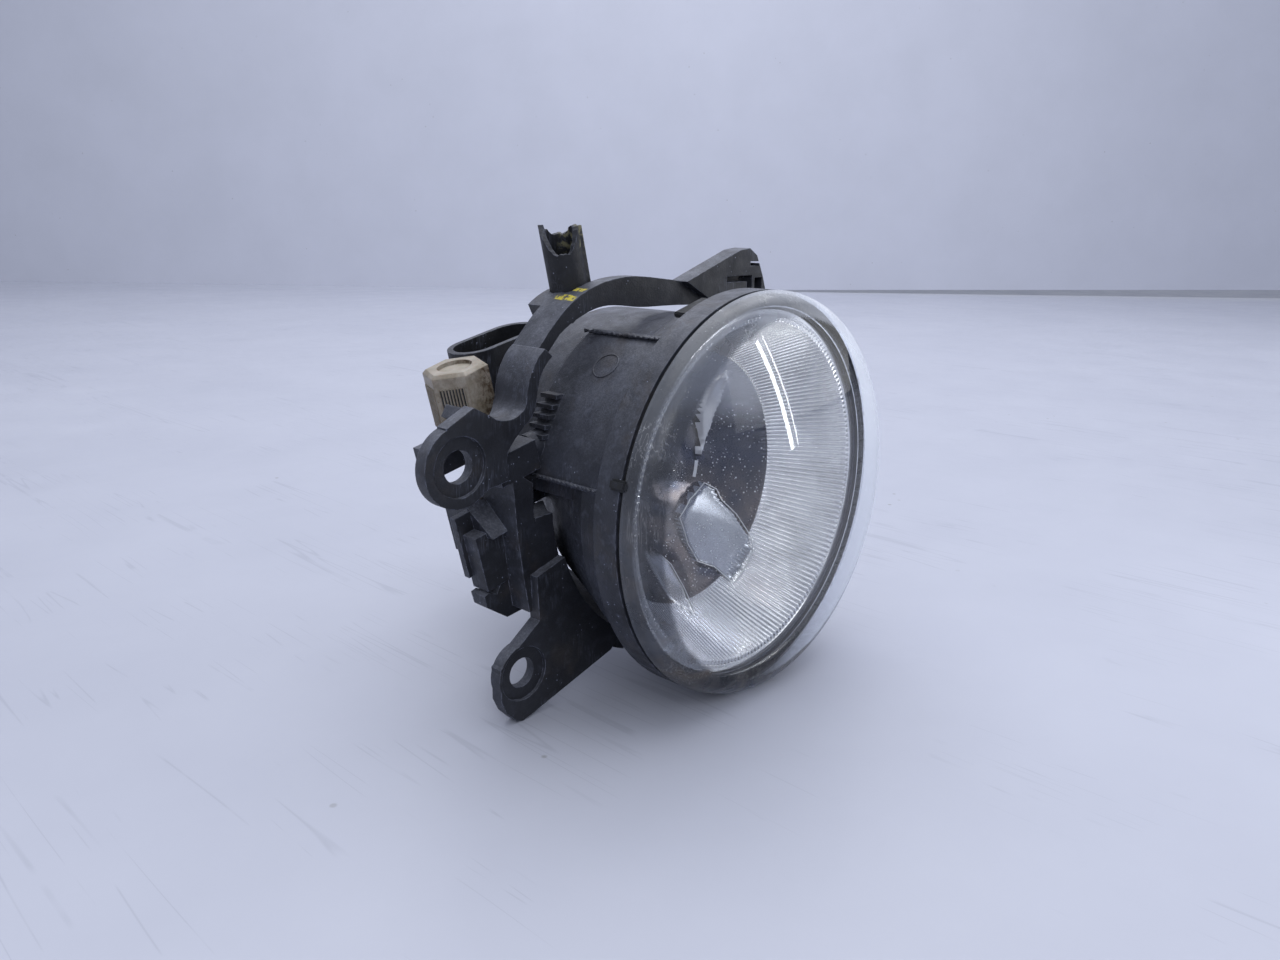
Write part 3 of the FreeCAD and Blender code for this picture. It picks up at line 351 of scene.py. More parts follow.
def knob_nylon():
    """Aged ivory nylon with brown dirt and painted shade low down and on the side turned away from
    the light.
    """
    p = Paint("knob_nylon")
    base = p.mix(p.remap(p.noise(4 * MM, 5.0, 0.6), 0.35, 0.65), (0.30, 0.26, 0.20, 1),
                 (0.44, 0.40, 0.345, 1))
    x = p.split()[0]
    # Painted shade with dirt: brown on faces not turned up and on the side away from the light, in
    # patches.
    upright = p.remap(p.facing_up(), 0.75, 0.45)
    side = p.remap(p.math("ADD", x, p.math("MULTIPLY", p.noise(3 * MM), 4 * MM)), -0.0485, -0.0445)
    specks = p.remap(p.noise(1.1 * MM, 5.0, 0.7), 0.44, 0.62)
    shade_and_dirt_amount = p.math("MULTIPLY", p.math("ADD", p.math("MULTIPLY", side, 0.85), 0.42), upright)
    patchy = p.math("ADD", 0.35, p.math("MULTIPLY", specks, 0.65))
    shade_and_dirt_colour = p.mix(p.math("MULTIPLY", shade_and_dirt_amount, patchy, clamp=True), base, KNOB_SHADE_AND_DIRT)
    flecks = p.math("MULTIPLY", p.remap(p.cells(0.9 * MM), 0.20, 0.10),
                    p.remap(p.noise(3 * MM), 0.48, 0.60))
    flecked = p.mix(p.math("MULTIPLY", flecks, 0.7), shade_and_dirt_colour, (0.10, 0.065, 0.035, 1))
    edge, rounded = p.edges(0.6 * MM)
    final = p.mix(p.math("MULTIPLY", edge, 0.22), flecked, (0.20, 0.14, 0.08, 1))
    rough = p.remap(p.noise(2 * MM, 4.0), 0.3, 0.7, 0.38, 0.62)
    normal = p.bump(p.noise(0.5 * MM, 4.0), 0.08 * MM, 0.7, rounded)
    return p.finish(final, rough, normal, IOR=1.5, Subsurface_Weight=0.05,
                    Subsurface_Scale=1.0 * MM)


def metal(name, colour, rough, dirt=0.3):
    p = Paint(name)
    spots = p.remap(p.noise(1.2 * MM, 5.0, 0.65), 0.5, 0.72)
    base = p.mix(p.math("MULTIPLY", spots, dirt), colour, RUST)
    roughness = p.remap(p.noise(0.8 * MM, 4.0), 0.3, 0.7, rough, rough + 0.2)
    normal = p.bump(p.noise(0.4 * MM, 3.0), 0.03 * MM, 0.6)
    return p.finish(base, roughness, normal, Metallic=1.0)


def rubber(name, level):
    p = Paint(name)
    base = p.mix(p.remap(p.noise(3 * MM, 5.0), 0.4, 0.7), grey(level), grey(level * 2.2, COOL))
    rough = p.remap(p.noise(2 * MM), 0.3, 0.7, 0.55, 0.8)
    return p.finish(base, rough, p.bump(p.noise(0.35 * MM, 4.0), 0.08 * MM, 0.8))


def felt(name):
    p = Paint(name)
    base = p.mix(p.noise(0.4 * MM, 5.0), grey(0.42), grey(0.62))
    return p.finish(base, 0.95, p.bump(p.noise(0.25 * MM, 5.0), 0.12 * MM, 1.0))


def clear_glass(name, tint):
    """Thin clear glass: it mirrors at a glance and otherwise lets everything through."""
    p = Paint(name)
    p.finish(grey(1), p.remap(p.noise(3 * MM), 0.3, 0.7, 0.03, 0.08), Metallic=1.0)
    clear = p.plain("Transparent", grey(tint))
    return p.surface(p.blend(p.gleam(GLASS_IOR), clear, p.shader.outputs[0]))


def lens_glass():
    """Clear in the middle; hazed, stained and scuffed on the shoulder, most of all low down;
    painted light makes the shoulder paler and more opaque at the top and on the right.
    """
    p = Paint("lens_glass")
    r = p.axis_distance()
    x, _, z = p.split()
    wobble = p.math("MULTIPLY", p.math("SUBTRACT", p.noise(10 * MM, 3.0), 0.5), 1.5 * MM)
    edge = p.math("ADD", r, wobble)
    frost = p.remap(edge, LENS_R - 5.9 * MM, LENS_R - 4.6 * MM, smooth=True)
    low = p.remap(z, 0.012, -0.030)
    high = p.remap(z, 0.010, 0.036)
    right = p.remap(p.math("ADD", x, p.math("MULTIPLY", z, 0.35)), 0.000, 0.030)
    blotch = p.remap(p.noise(9 * MM, 6.0, 0.62, warp=0.6), 0.40, 0.66)

    # The shoulder: grey to pale ground, brown grime, nicks and specks; its paler top and right are
    # painted light, with less grime on the right.
    ground = p.mix(p.remap(p.noise(13 * MM, 5.0, 0.6), 0.36, 0.66), (0.062, 0.068, 0.084, 1),
                   (0.135, 0.145, 0.170, 1))
    painted_light_top = p.mix(p.math("MULTIPLY", high, 0.38), ground, (0.36, 0.38, 0.42, 1))
    pale = p.mix(right, painted_light_top, (0.82, 0.85, 0.92, 1))
    grime_off_right = p.remap(x, 0.034, 0.018, 0.12, 1.0)
    grime = p.math("MULTIPLY", p.math("MULTIPLY", blotch, grime_off_right),
                   p.math("ADD", 0.22, p.math("MULTIPLY", low, 0.74)))
    stained = p.mix(grime, pale, LENS_DIRT)
    nicks = p.math("MULTIPLY", p.scratches(0.9 * MM, (0.4, 0.9, 0.2), 0.03),
                   p.math("ADD", 0.3, high))
    fine = p.math("MULTIPLY", p.remap(p.cells(0.9 * MM), 0.17, 0.09),
                  p.remap(p.noise(5 * MM), 0.53, 0.64))
    marks = p.math("MAXIMUM", p.math("MULTIPLY", nicks, 0.8), p.math("MULTIPLY", fine, 0.65))
    colour = p.mix(marks, stained, (0.60, 0.61, 0.64, 1))
    height = p.math("ADD", p.noise(1.6 * MM, 4.0),
                    p.math("MULTIPLY", p.noise(0.35 * MM, 3.0), 0.5))
    p.finish(colour, p.remap(p.noise(4 * MM, 4.0), 0.3, 0.7, 0.20, 0.40),
             p.bump(height, 0.05 * MM, 0.5), IOR=GLASS_IOR)
    inside = p.add("ShaderNodeNewGeometry").outputs["Backfacing"]
    skin = p.blend(inside, p.shader.outputs[0], p.plain("Translucent", (0.84, 0.87, 0.93, 1)))
    # Painted light: the shoulder lets through a paler tint and turns more opaque on the right.
    thin = p.plain("Transparent", p.mix(right, (0.50, 0.52, 0.56, 1), (0.90, 0.92, 0.95, 1)))
    haze = p.math("ADD", p.math("ADD", 0.36, p.math("MULTIPLY", right, 0.12)),
                  p.math("MULTIPLY", grime, 0.50))
    thick = p.remap(r, LENS_R - 2.6 * MM, LENS_R - 0.9 * MM, 0.0, 0.30)
    extra = p.math("ADD", thick, p.math("MULTIPLY", marks, 0.3))
    shoulder = p.blend(p.math("ADD", haze, extra, clamp=True), thin, skin)

    # The clear pane: a glossy skin with a film of dirt at the left and specks of dust.
    gloss = p.add("ShaderNodeBsdfGlossy")
    gloss.inputs["Roughness"].default_value = 0.03
    pane = p.blend(p.gleam(GLASS_IOR), p.plain("Transparent", (0.96, 0.97, 0.98, 1)),
                   gloss.outputs[0])
    leftward = p.math("MULTIPLY", p.remap(edge, LENS_R - 17 * MM, LENS_R - 6 * MM),
                      p.remap(x, 0.0, -0.030))
    specks = p.math("MULTIPLY", p.remap(p.cells(0.8 * MM), 0.14, 0.07),
                    p.remap(p.noise(6 * MM), 0.50, 0.62))
    film = p.math("MULTIPLY", leftward, p.math("MULTIPLY", blotch, 0.30))
    dusty = p.blend(p.math("MAXIMUM", film, p.math("MULTIPLY", specks, 0.35)), pane,
                    p.plain("Diffuse", (0.46, 0.45, 0.45, 1)))
    return p.surface(p.blend(frost, dusty, shoulder))


def lens_rim():
    """Ground rear rim of the lens: painted light makes it pale towards the right, and painted shade
    makes it dark towards the left, over the housing.
    """
    p = Paint("lens_rim")
    x, _, z = p.split()
    # Painted light and shade: pale towards the right, dark towards the left.
    side = p.remap(p.math("ADD", x, p.math("MULTIPLY", z, 0.35)), -0.006, 0.020)
    base = p.mix(side, (0.035, 0.038, 0.048, 1), (0.84, 0.87, 0.94, 1))
    mottled = p.mix(p.remap(p.noise(2 * MM, 5.0), 0.5, 0.75), base, (0.35, 0.34, 0.34, 1))
    return p.finish(mottled, p.remap(p.noise(1 * MM), 0.3, 0.7, 0.5, 0.8),
                    p.bump(p.noise(0.4 * MM), 0.05 * MM, 0.5))


def mirror(name, level, rough, dust=0.0, tint=(1, 1, 1), brown=0.0, haze_and_sheen=0.0, sky=0.0):
    """Metallised plastic with dust and haze; brown adds a film, the pale veil adds haze and a
    painted sheen, and sky adds a pale top that is a painted reflection.
    """
    p = Paint(name)
    haze = p.mix(p.remap(p.noise(7 * MM, 4.0), 0.4, 0.7), grey(level, tint),
                 grey(level * 0.82, tint))
    z = p.split()[2]
    film = p.math("MULTIPLY", p.remap(z, 0.0, -0.016), p.remap(p.noise(6 * MM, 4.0), 0.35, 0.6))
    aged = p.mix(p.math("MULTIPLY", film, brown), haze, (0.30, 0.25, 0.22, 1))
    specks = p.math("MAXIMUM", p.remap(p.cells(1.25 * MM), 0.19, 0.12),
                    p.remap(p.cells(0.8 * MM), 0.14, 0.08))
    shown = p.math("MULTIPLY", specks, p.remap(p.noise(5 * MM, 2.0), 0.40, 0.50))
    colour = p.mix(p.math("MULTIPLY", shown, dust), aged, grey(0.9))
    roughness = p.math("ADD", p.remap(p.noise(2 * MM), 0.3, 0.7, rough, rough + 0.06),
                       p.math("MULTIPLY", shown, 0.5 * dust))
    p.finish(colour, roughness, Metallic=1.0)
    # Painted reflection: a pale veil over the upper bowl, scaled by sky.
    rise = p.math("ADD", z, p.math("MULTIPLY", p.noise(5 * MM, 3.0), 3 * MM))
    top = p.math("MULTIPLY", p.remap(rise, 0.0085, 0.022, smooth=True), sky)
    # The pale veil: haze, dust specks and painted sheen.
    haze_dust_and_sheen = p.math("ADD", haze_and_sheen, p.math("MULTIPLY", shown, 0.8 * dust))
    veil = p.plain("Diffuse", (0.80, 0.82, 0.88, 1))
    return p.surface(p.blend(p.math("ADD", haze_dust_and_sheen, top, clamp=True), p.shader.outputs[0], veil))


# Hair-fine scratches: direction in radians, width of their noise and of their patches in mm.
HAIRS = ((0.7, 7, 46), (-0.5, 9, 58), (1.9, 6, 38), (2.6, 8, 64))


def wall_paint(name, colour, blotch, scuff=0.16):
    """Pale table top or wall with faint stains, scratches, hairs and specks."""
    p = Paint(name)
    soft = p.mix(p.remap(p.noise(90 * MM, 5.0, 0.6), 0.35, 0.7), colour, blotch)
    lines = 0.0
    for turn, size, spread in HAIRS:
        stretched = p.place((1, 0.035, 1), (0, 0, turn))
        line = p.noise(size * MM, 1.0, 0.5, stretched)
        near = p.math("ABSOLUTE", p.math("SUBTRACT", line, 0.5))
        patch = p.remap(p.noise(spread * MM, 3.0), 0.56, 0.61)
        lines = p.math("MAXIMUM", lines, p.math("MULTIPLY", p.remap(near, 0.010, 0.002), patch))
    marked = p.mix(p.math("MULTIPLY", lines, scuff), soft, grey(0.20, COOL))
    specks = p.math("MULTIPLY", p.remap(p.cells(16 * MM), 0.055, 0.030),
                    p.remap(p.noise(70 * MM), 0.50, 0.60))
    final = p.mix(p.math("MULTIPLY", specks, 0.6), marked, grey(0.22))
    rough = p.remap(p.noise(30 * MM), 0.3, 0.7, 0.30, 0.45)
    return p.finish(final, rough, p.bump(p.noise(1.5 * MM, 4.0), 0.02 * MM, 0.5), IOR=1.4)


# ------------------------------------------------------------------ mesh helpers
def new_piece(name, verts, faces, material, body, smooth=True, replaces=None):
    mesh = bpy.data.meshes.new(name)
    mesh.from_pydata([tuple(v) for v in verts], [], faces)
    mesh.validate()
    for polygon in mesh.polygons:
        polygon.use_smooth = smooth
    piece = bpy.data.objects.new(name, mesh)
    bpy.context.scene.collection.objects.link(piece)
    tidy_normals(mesh)
    mesh.materials.append(material)
    if replaces:
        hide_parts(replaces)
    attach(piece, body)
    return piece


def tidy_normals(mesh):
    work = bmesh.new()
    work.from_mesh(mesh)
    bmesh.ops.recalc_face_normals(work, faces=work.faces)
    work.to_mesh(mesh)
    work.free()


def sharpen(piece, degrees):
    """Smooth shading that keeps corners above this angle crisp."""
    bpy.context.view_layer.objects.active = piece
    for other in bpy.context.selected_objects:
        other.select_set(False)
    piece.select_set(True)
    bpy.ops.object.shade_smooth_by_angle(angle=math.radians(degrees))


def grid_faces(rows, columns, closed=True):
    """Faces of a grid of vertices whose rows are rings; the last row meets the first if closed."""
    faces = []
    for i in range(rows if closed else rows - 1):
        k = (i + 1) % rows
        for j in range(columns):
            n = (j + 1) % columns
            faces.append((i * columns + j, i * columns + n, k * columns + n, k * columns + j))
    return faces


def lathe(profile, turns):
    """Vertices and faces of a closed ring swept from an (r, y) loop about Y."""
    verts = []
    for i in range(turns):
        a = 2 * math.pi * i / turns
        verts.extend((r * math.cos(a), y, r * math.sin(a)) for r, y in profile)
    return verts, grid_faces(turns, len(profile))


SWEEP_SIDES = 8


def sweep(points, radius, closed=False):
    """Tube along a list of points; radius may be a number or one number per point."""
    points = [Vector(p) for p in points]
    radii = radius if isinstance(radius, list) else [radius] * len(points)
    verts = []
    lead = (points[1] - points[0]).normalized()
    across = lead.orthogonal().normalized()
    for i, point in enumerate(points):
        before = points[i - 1] if i or closed else point
        after = points[(i + 1) % len(points)] if i + 1 < len(points) or closed else point
        ahead = (after - before).normalized()
        across = (across - ahead * across.dot(ahead)).normalized()
        side = ahead.cross(across)
        for j in range(SWEEP_SIDES):
            a = 2 * math.pi * j / SWEEP_SIDES
            verts.append(point + (across * math.cos(a) + side * math.sin(a)) * radii[i])
    faces = grid_faces(len(points), SWEEP_SIDES, closed)
    if not closed:
        faces.append(tuple(range(SWEEP_SIDES)))
        faces.append(tuple(len(verts) - 1 - j for j in range(SWEEP_SIDES)))
    return verts, faces


def ring_point(r, degrees, y):
    a = math.radians(degrees)
    return Vector((r * math.cos(a), y, r * math.sin(a)))


# ------------------------------------------------------------------ lens
ARC_STEPS, DOME_STEPS, LENS_TURNS = 14, 30, 192
AXIS_R = 1e-5                        # the dome's middle ring stays this far from the axis


def lens_profile():
    """Closed (r, y) loop of the lens: shoulder, dome, inner dome, inner shoulder."""
    hub_r = LENS_R - CORNER
    steep = math.pi / 2 - SLOPE
    dome_r = hub_r / math.cos(steep) + CORNER
    centre_y = RIM_Y + math.tan(steep) * hub_r

    def skin(offset):
        r = CORNER - offset
        big = dome_r - offset
        arc = [(hub_r + r * math.cos(steep * t / ARC_STEPS),
                RIM_Y - r * math.sin(steep * t / ARC_STEPS))
               for t in range(ARC_STEPS + 1)]
        half = math.asin(arc[-1][0] / big)
        dome = [(big * math.sin(half * (1 - t / DOME_STEPS)),
                 centre_y - big * math.cos(half * (1 - t / DOME_STEPS)))
                for t in range(1, DOME_STEPS + 1)]
        line = arc + dome
        line[-1] = (AXIS_R, line[-1][1])
        return line

    return skin(0.0) + skin(LENS_WALL)[::-1]


def add_lens(material, inner, rim):
    """Dome with its stained outer skin, clear inner skin and ground rear rim."""
    profile = lens_profile()
    verts, faces = lathe(profile, LENS_TURNS)
    piece = new_piece("lens_dome", verts, faces, material, "lamp", replaces="lens")
    piece.data.materials.append(inner)
    piece.data.materials.append(rim)
    for polygon in piece.data.polygons:
        row = polygon.index % len(profile)
        if row == len(profile) - 1:
            polygon.material_index = 2
        elif row >= len(profile) // 2:
            polygon.material_index = 1
    sharpen(piece, 50)


# ------------------------------------------------------------------ reflector
REFL_LOW, REFL_HIGH = (Vector(c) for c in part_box("reflector"))
FILAMENT_LOW, FILAMENT_HIGH = (Vector(c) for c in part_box("bulb_filament"))
FOCUS_Y = (FILAMENT_LOW.y + FILAMENT_HIGH.y) / 2
MOUTH_R = LENS_R - 6.6 * MM
REFL_DEPTH = FOCUS_Y - REFL_LOW.y
FOCAL = (math.hypot(REFL_DEPTH, MOUTH_R) - REFL_DEPTH) / 2
HOLE_R = 11.0 * MM
BOWL_RINGS = 54
FLUTES = 190
FLUTE_STEPS = 6                      # columns of vertices per flute
FLUTE_DEPTH = 0.42 * MM
FLUTE_START_R = 30.0 * MM
FLUTED_FROM, FLUTED_TO = -150.0, 92.0    # the fluted sector, in degrees
BEAD_DEPTH = 0.34 * MM               # of the beads along the lip
# Materials of the bowl, in the order that add_reflector takes them.
IN_FLUTES, IN_SMOOTH, IN_FACET, IN_LIP, IN_BLADE = range(5)


def bowl_y(r):
    return FOCUS_Y + FOCAL - r * r / (4 * FOCAL)


def step(x, low, high):
    t = min(max((x - low) / (high - low), 0.0), 1.0)
    return t * t * (3 - 2 * t)


def wrapped(degrees):
    return (degrees + 180) % 360 - 180


def in_flutes(degrees):
    """1 inside the fluted sector, falling to 0 over its borders."""
    a = wrapped(degrees)
    return step(a, FLUTED_FROM - 3, FLUTED_FROM + 3) * (1 - step(a, FLUTED_TO - 3, FLUTED_TO + 3))


# Corners of the large facet low in the bowl, the narrow blade right of it and the second facet
# left of it, each as (radius in mm, degrees).
FACET = [(20.2, -50), (23.7, -63), (26.3, -68), (28.3, -64.5), (31.3, -66), (31.2, -56),
         (31.0, -46.5), (30.1, -40.5), (27.2, -32), (24.7, -27), (23.6, -21.5), (21.6, -19.5),
         (20.3, -34)]
BLADE = [(20.6, -17), (20.7, -3), (20.9, 13), (26.2, 53), (28.4, 57), (27.7, 50), (25.2, 36),
         (22.9, 20), (21.4, 4)]
SECOND = [(22.5, -83), (24.6, -82), (28.3, -87.5), (32.3, -95.6), (29.4, -101), (25.2, -97),
          (21.4, -92)]
FACET_LIFT, BLADE_LIFT, SECOND_LIFT = -1.5 * MM, -0.9 * MM, -0.8 * MM    # towards the lens
FACETS_FROM_R, FACETS_TO_R = 19 * MM, 34 * MM


def outline(corners):
    return [(r * MM * math.cos(math.radians(a)), r * MM * math.sin(math.radians(a)))
            for r, a in corners]


def within(x, z, loop):
    """How far inside a closed outline a point lies, negative outside."""
    near, inside = 1.0, False
    for (ax, az), (bx, bz) in zip(loop, loop[1:] + loop[:1]):
        if (az > z) != (bz > z) and x < (bx - ax) * (z - az) / (bz - az) + ax:
            inside = not inside
        t = ((x - ax) * (bx - ax) + (z - az) * (bz - az)) / ((bx - ax) ** 2 + (bz - az) ** 2)
        t = min(max(t, 0.0), 1.0)
        near = min(near, math.hypot(x - ax - t * (bx - ax), z - az - t * (bz - az)))
    return near if inside else -near


# Outline, lift and material of each facet.
FACETS = [(outline(FACET), FACET_LIFT, IN_FACET), (outline(BLADE), BLADE_LIFT, IN_BLADE),
          (outline(SECOND), SECOND_LIFT, IN_LIP)]


def facet_at(r, degrees):
    """Lift of the bowl at a point, and the facet's material there if it's inside one."""
    if not FACETS_FROM_R <= r <= FACETS_TO_R:
        return 0.0, None
    a = math.radians(degrees)
    x, z = r * math.cos(a), r * math.sin(a)
    for loop, lift, paint in FACETS:
        depth = within(x, z, loop)
        if depth > -0.25 * MM:
            return lift * step(depth, -0.25 * MM, 0.35 * MM), paint if depth > -0.05 * MM else None
    return 0.0, None


def zone(r, degrees):
    """Material of the bowl at a point."""
    paint = facet_at(r, degrees)[1]
    if paint is not None:
        return paint
    if r > MOUTH_R - 0.5 * MM:
        return IN_LIP
    if r < FLUTE_START_R:
        return IN_SMOOTH
    return IN_FLUTES if FLUTED_FROM < wrapped(degrees) < FLUTED_TO else IN_FACET


def add_reflector(materials):
    """Bowl with radial flutes, a smooth middle, angled facets and a beaded lip made bright by
    painted sheen.
    """
    turns = FLUTES * FLUTE_STEPS
    front = REFL_LOW.y + 0.05 * MM
    lip_r = REFL_HIGH.x - 0.15 * MM
    rim_r, rim_y = lip_r - 0.8 * MM, front + 1.5 * MM
    verts, faces, paints = [], [], []

    def ring_r(j):
        return HOLE_R + (MOUTH_R - HOLE_R) * j / (BOWL_RINGS - 1)

    for i in range(turns):
        degrees = 360.0 * i / turns
        a = math.radians(degrees)
        arch = abs(math.sin(a * FLUTES / 2))
        for j in range(BOWL_RINGS):
            r = ring_r(j)
            flute = in_flutes(degrees) * step(r, FLUTE_START_R - 0.5 * MM, FLUTE_START_R + 0.5 * MM)
            wave = FLUTE_DEPTH * flute * (arch - 0.5)
            y = max(bowl_y(r) + facet_at(r, degrees)[0], front)
            verts.append(((r - wave) * math.cos(a), y, (r - wave) * math.sin(a)))
        bead_y = front + 0.25 * MM - BEAD_DEPTH * arch
        ledge = ((MOUTH_R + 0.35 * MM, bead_y), (MOUTH_R + 0.95 * MM, bead_y),
                 (MOUTH_R + 1.30 * MM, front + 0.55 * MM), (lip_r - 1.1 * MM, front + 0.60 * MM),
                 (rim_r, front), (lip_r, front), (lip_r, rim_y), (MOUTH_R + 1.6 * MM, rim_y))
        verts.extend((r * math.cos(a), y, r * math.sin(a)) for r, y in ledge)
    count = BOWL_RINGS + len(ledge)
    for i in range(turns):
        k = (i + 1) % turns
        degrees = 360.0 * (i + 0.5) / turns
        for j in range(count - 1):
            faces.append((i * count + j, i * count + j + 1, k * count + j + 1, k * count + j))
            paints.append(IN_LIP if j >= BOWL_RINGS - 1 else zone(ring_r(j + 0.5), degrees))
    piece = new_piece("reflector_bowl", verts, faces, materials[0], "lamp",
                      replaces="reflector")
    for material in materials[1:]:
        piece.data.materials.append(material)
    for polygon, paint in zip(piece.data.polygons, paints):
        polygon.material_index = paint
    sharpen(piece, 50)


EDGE_R, EDGE_STEPS = 0.15 * MM, 6


def add_facet_glints(material):
    """Painted highlights: bright rounded rods along the edges round the facet and along the second
    one.
    """
    for name, corners, closed, lift in (("facet_edge", FACET, True, FACET_LIFT),
                                        ("second_edge", SECOND[:4], False, SECOND_LIFT)):
        ends = corners[1:] + (corners[:1] if closed else [])
        points = []
        for (r0, a0), (r1, a1) in zip(corners, ends):
            for k in range(EDGE_STEPS):
                r = (r0 + (r1 - r0) * k / EDGE_STEPS) * MM
                points.append(ring_point(r, a0 + (a1 - a0) * k / EDGE_STEPS, bowl_y(r) + lift))
        verts, faces = sweep(points, EDGE_R, closed)
        new_piece(name, verts, faces, material, "lamp")


# ------------------------------------------------------------------ small pieces
def middle(node):
    low, high = (Vector(c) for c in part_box(node))
    return (low + high) / 2


TUBE_BORE_R = 3.0 * MM
TUBE_SEAT = 4.5 * MM                 # the break is measured from this far up the tube
TUBE_TURNS, TUBE_ROWS = 96, 22
BREAK_LOW_AT, BREAK_TIP_AT, RIDGE_AT = 228, 136, 318    # directions round the tube, in degrees


def torn_height(degrees):
    """How far the broken end rises above the seat, low in front and pointed on one side."""
    from_front = abs(wrapped(degrees - BREAK_LOW_AT))
    from_tip = abs(wrapped(degrees - BREAK_TIP_AT))
    rise = 8.4 + 4.6 * step(from_front, 18, 84) - 1.6 * step(from_front, 120, 165)
    rise += 1.5 * max(0.0, 1 - from_tip / 16)
    return rise * MM + 0.45 * MM * noise.noise(Vector((degrees / 9.0, 0.3, 0.0)))


def add_torn_tube(material):
    """The guide tube with its broken open end and a ridge up its side."""
    low, high = (Vector(c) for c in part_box("guide_tube"))
    radius = (high.y - low.y) / 2
    foot = Vector((high.x - radius * SIDE.x, (low.y + high.y) / 2, low.z + radius * SIDE.z))
    verts = []
    for i in range(TUBE_TURNS):
        degrees = 360.0 * i / TUBE_TURNS
        a = math.radians(degrees)
        out = SIDE * math.cos(a) + Vector((0, math.sin(a), 0))
        top = TUBE_SEAT + torn_height(degrees)
        ridge = 0.75 * MM * max(0.0, 1 - abs(wrapped(degrees - RIDGE_AT)) / 9)
        for j in range(TUBE_ROWS + 1):
            r = radius - 0.05 * MM + (ridge if j > 4 else 0.0)
            verts.append(foot + UP * (top * j / TUBE_ROWS) + out * r)
        for j in range(TUBE_ROWS + 1):
            t = top * (1 - j / TUBE_ROWS) - 0.12 * MM
            verts.append(foot + UP * t + out * TUBE_BORE_R)
    faces = grid_faces(TUBE_TURNS, 2 * TUBE_ROWS + 2)
    piece = new_piece("guide_tube_torn", verts, faces, material, "bracket_body",
                      replaces="guide_tube")
    sharpen(piece, 40)


COIL_WINDS, WIND_STEPS, COIL_WIRE_R = 9, 16, 0.13 * MM


def add_filament(material):
    """Wound coil of the bulb, along the optical axis."""
    coil_r = (FILAMENT_HIGH.x - FILAMENT_LOW.x) / 2 - COIL_WIRE_R
    length = FILAMENT_HIGH.y - FILAMENT_LOW.y - 2 * COIL_WIRE_R
    steps = COIL_WINDS * WIND_STEPS
    points = []
    for i in range(steps + 1):
        a = 2 * math.pi * COIL_WINDS * i / steps
        y = FILAMENT_LOW.y + COIL_WIRE_R + length * i / steps
        points.append((coil_r * math.cos(a), y, coil_r * math.sin(a)))
    verts, faces = sweep(points, COIL_WIRE_R)
    new_piece("filament_coil", verts, faces, material, "bulb",
              replaces="bulb_filament")


def slab(name, corner, edges, material, body):
    """Box from a corner and three edge vectors, with a small bevel."""
    verts = [corner + edges[0] * i + edges[1] * j + edges[2] * k
             for k in (0, 1) for j in (0, 1) for i in (0, 1)]
    faces = [(0, 2, 3, 1), (4, 5, 7, 6), (0, 1, 5, 4), (2, 6, 7, 3), (0, 4, 6, 2), (1, 3, 7, 5)]
    piece = new_piece(name, verts, faces, material, body, False)
    work = bmesh.new()
    work.from_mesh(piece.data)
    bmesh.ops.bevel(work, geom=work.edges[:], offset=0.22 * min(e.length for e in edges),
                    segments=2, affect="EDGES")
    work.to_mesh(piece.data)
    work.free()


KNOB_HALF = 6.0 * MM                 # from the knob's axis to its flats
RIB_FOOT = 0.55 * MM                 # above the middle of the washer
RIB_STEP, RIB_W, RIB_H, RIB_LEN = 0.64 * MM, 0.30 * MM, 0.36 * MM, 9.4 * MM
GAP_DIRT_SHADE_SHIFT, GAP_DIRT_SHADE_W, GAP_DIRT_SHADE_H, GAP_DIRT_SHADE_LEN = 0.33 * MM, 0.28 * MM, 0.15 * MM, 9.1 * MM


def add_knob_ribs(material, dirt):
    """Nine fine ribs up two of the knob's faces, with near-black slabs between them for dirt and
    painted shade.
    """
    for face, degrees in enumerate((220, 160)):
        a = math.radians(degrees)
        out = SIDE * math.cos(a) + Vector((0, math.sin(a), 0))
        along = SIDE * -math.sin(a) + Vector((0, math.cos(a), 0))
        for i in range(9):
            foot = middle("adjuster_washer") + UP * RIB_FOOT + out * (KNOB_HALF - 0.1 * MM)
            foot += along * ((i - 4) * RIB_STEP - RIB_W / 2)
            slab("knob_rib_%d_%d" % (face, i), foot, (along * RIB_W, out * RIB_H, UP * RIB_LEN),
                 material, "adjuster")
            if i < 8:
                # Dark slabs between the ribs: dirt and painted shade in the grooves.
                foot += along * GAP_DIRT_SHADE_SHIFT
                slab("knob_dirt_%d_%d" % (face, i), foot,
                     (along * GAP_DIRT_SHADE_W, out * GAP_DIRT_SHADE_H, UP * GAP_DIRT_SHADE_LEN), dirt, "adjuster")


BARREL_R = 41.2 * MM
# Flash along the mould seams: name, direction in degrees, then front, rear and radius in mm.
SEAMS = (("flash_upper", 122.3, 4.0, 28.5, 0.34), ("flash_lower", 170.4, 4.0, 23.5, 0.28))
CIRCLE_AT, CIRCLE_Y, CIRCLE_R, CIRCLE_STEPS = 134.0, 16, 3.0, 48    # degrees, then mm
# Blocks: name, direction in degrees, then width, inner and outer radius, front and rear in mm.
BLOCKS = (("clip_tab", 106.0, 8.0, 37.0, 42.4, 3.6, 7.8),
          ("clip_tab_lip", 106.0, 9.6, 42.2, 43.4, 3.2, 8.4),
          ("flange_notch", 166.5, 2.2, 43.4, 45.9, -4.8, -0.6))


def add_flash(name, path, radius, material):
    """Ragged line of moulding flash along a path."""
    points, radii = [], []
    for i, point in enumerate(path):
        shake = noise.noise(Vector((i * 0.83, radius * 9000, 0.5)))
        points.append(Vector(point) * (1 + 0.004 * shake))
        radii.append(radius * (1 + 0.6 * shake))
    verts, faces = sweep(points, radii)
    new_piece(name, verts, faces, material, "lamp")


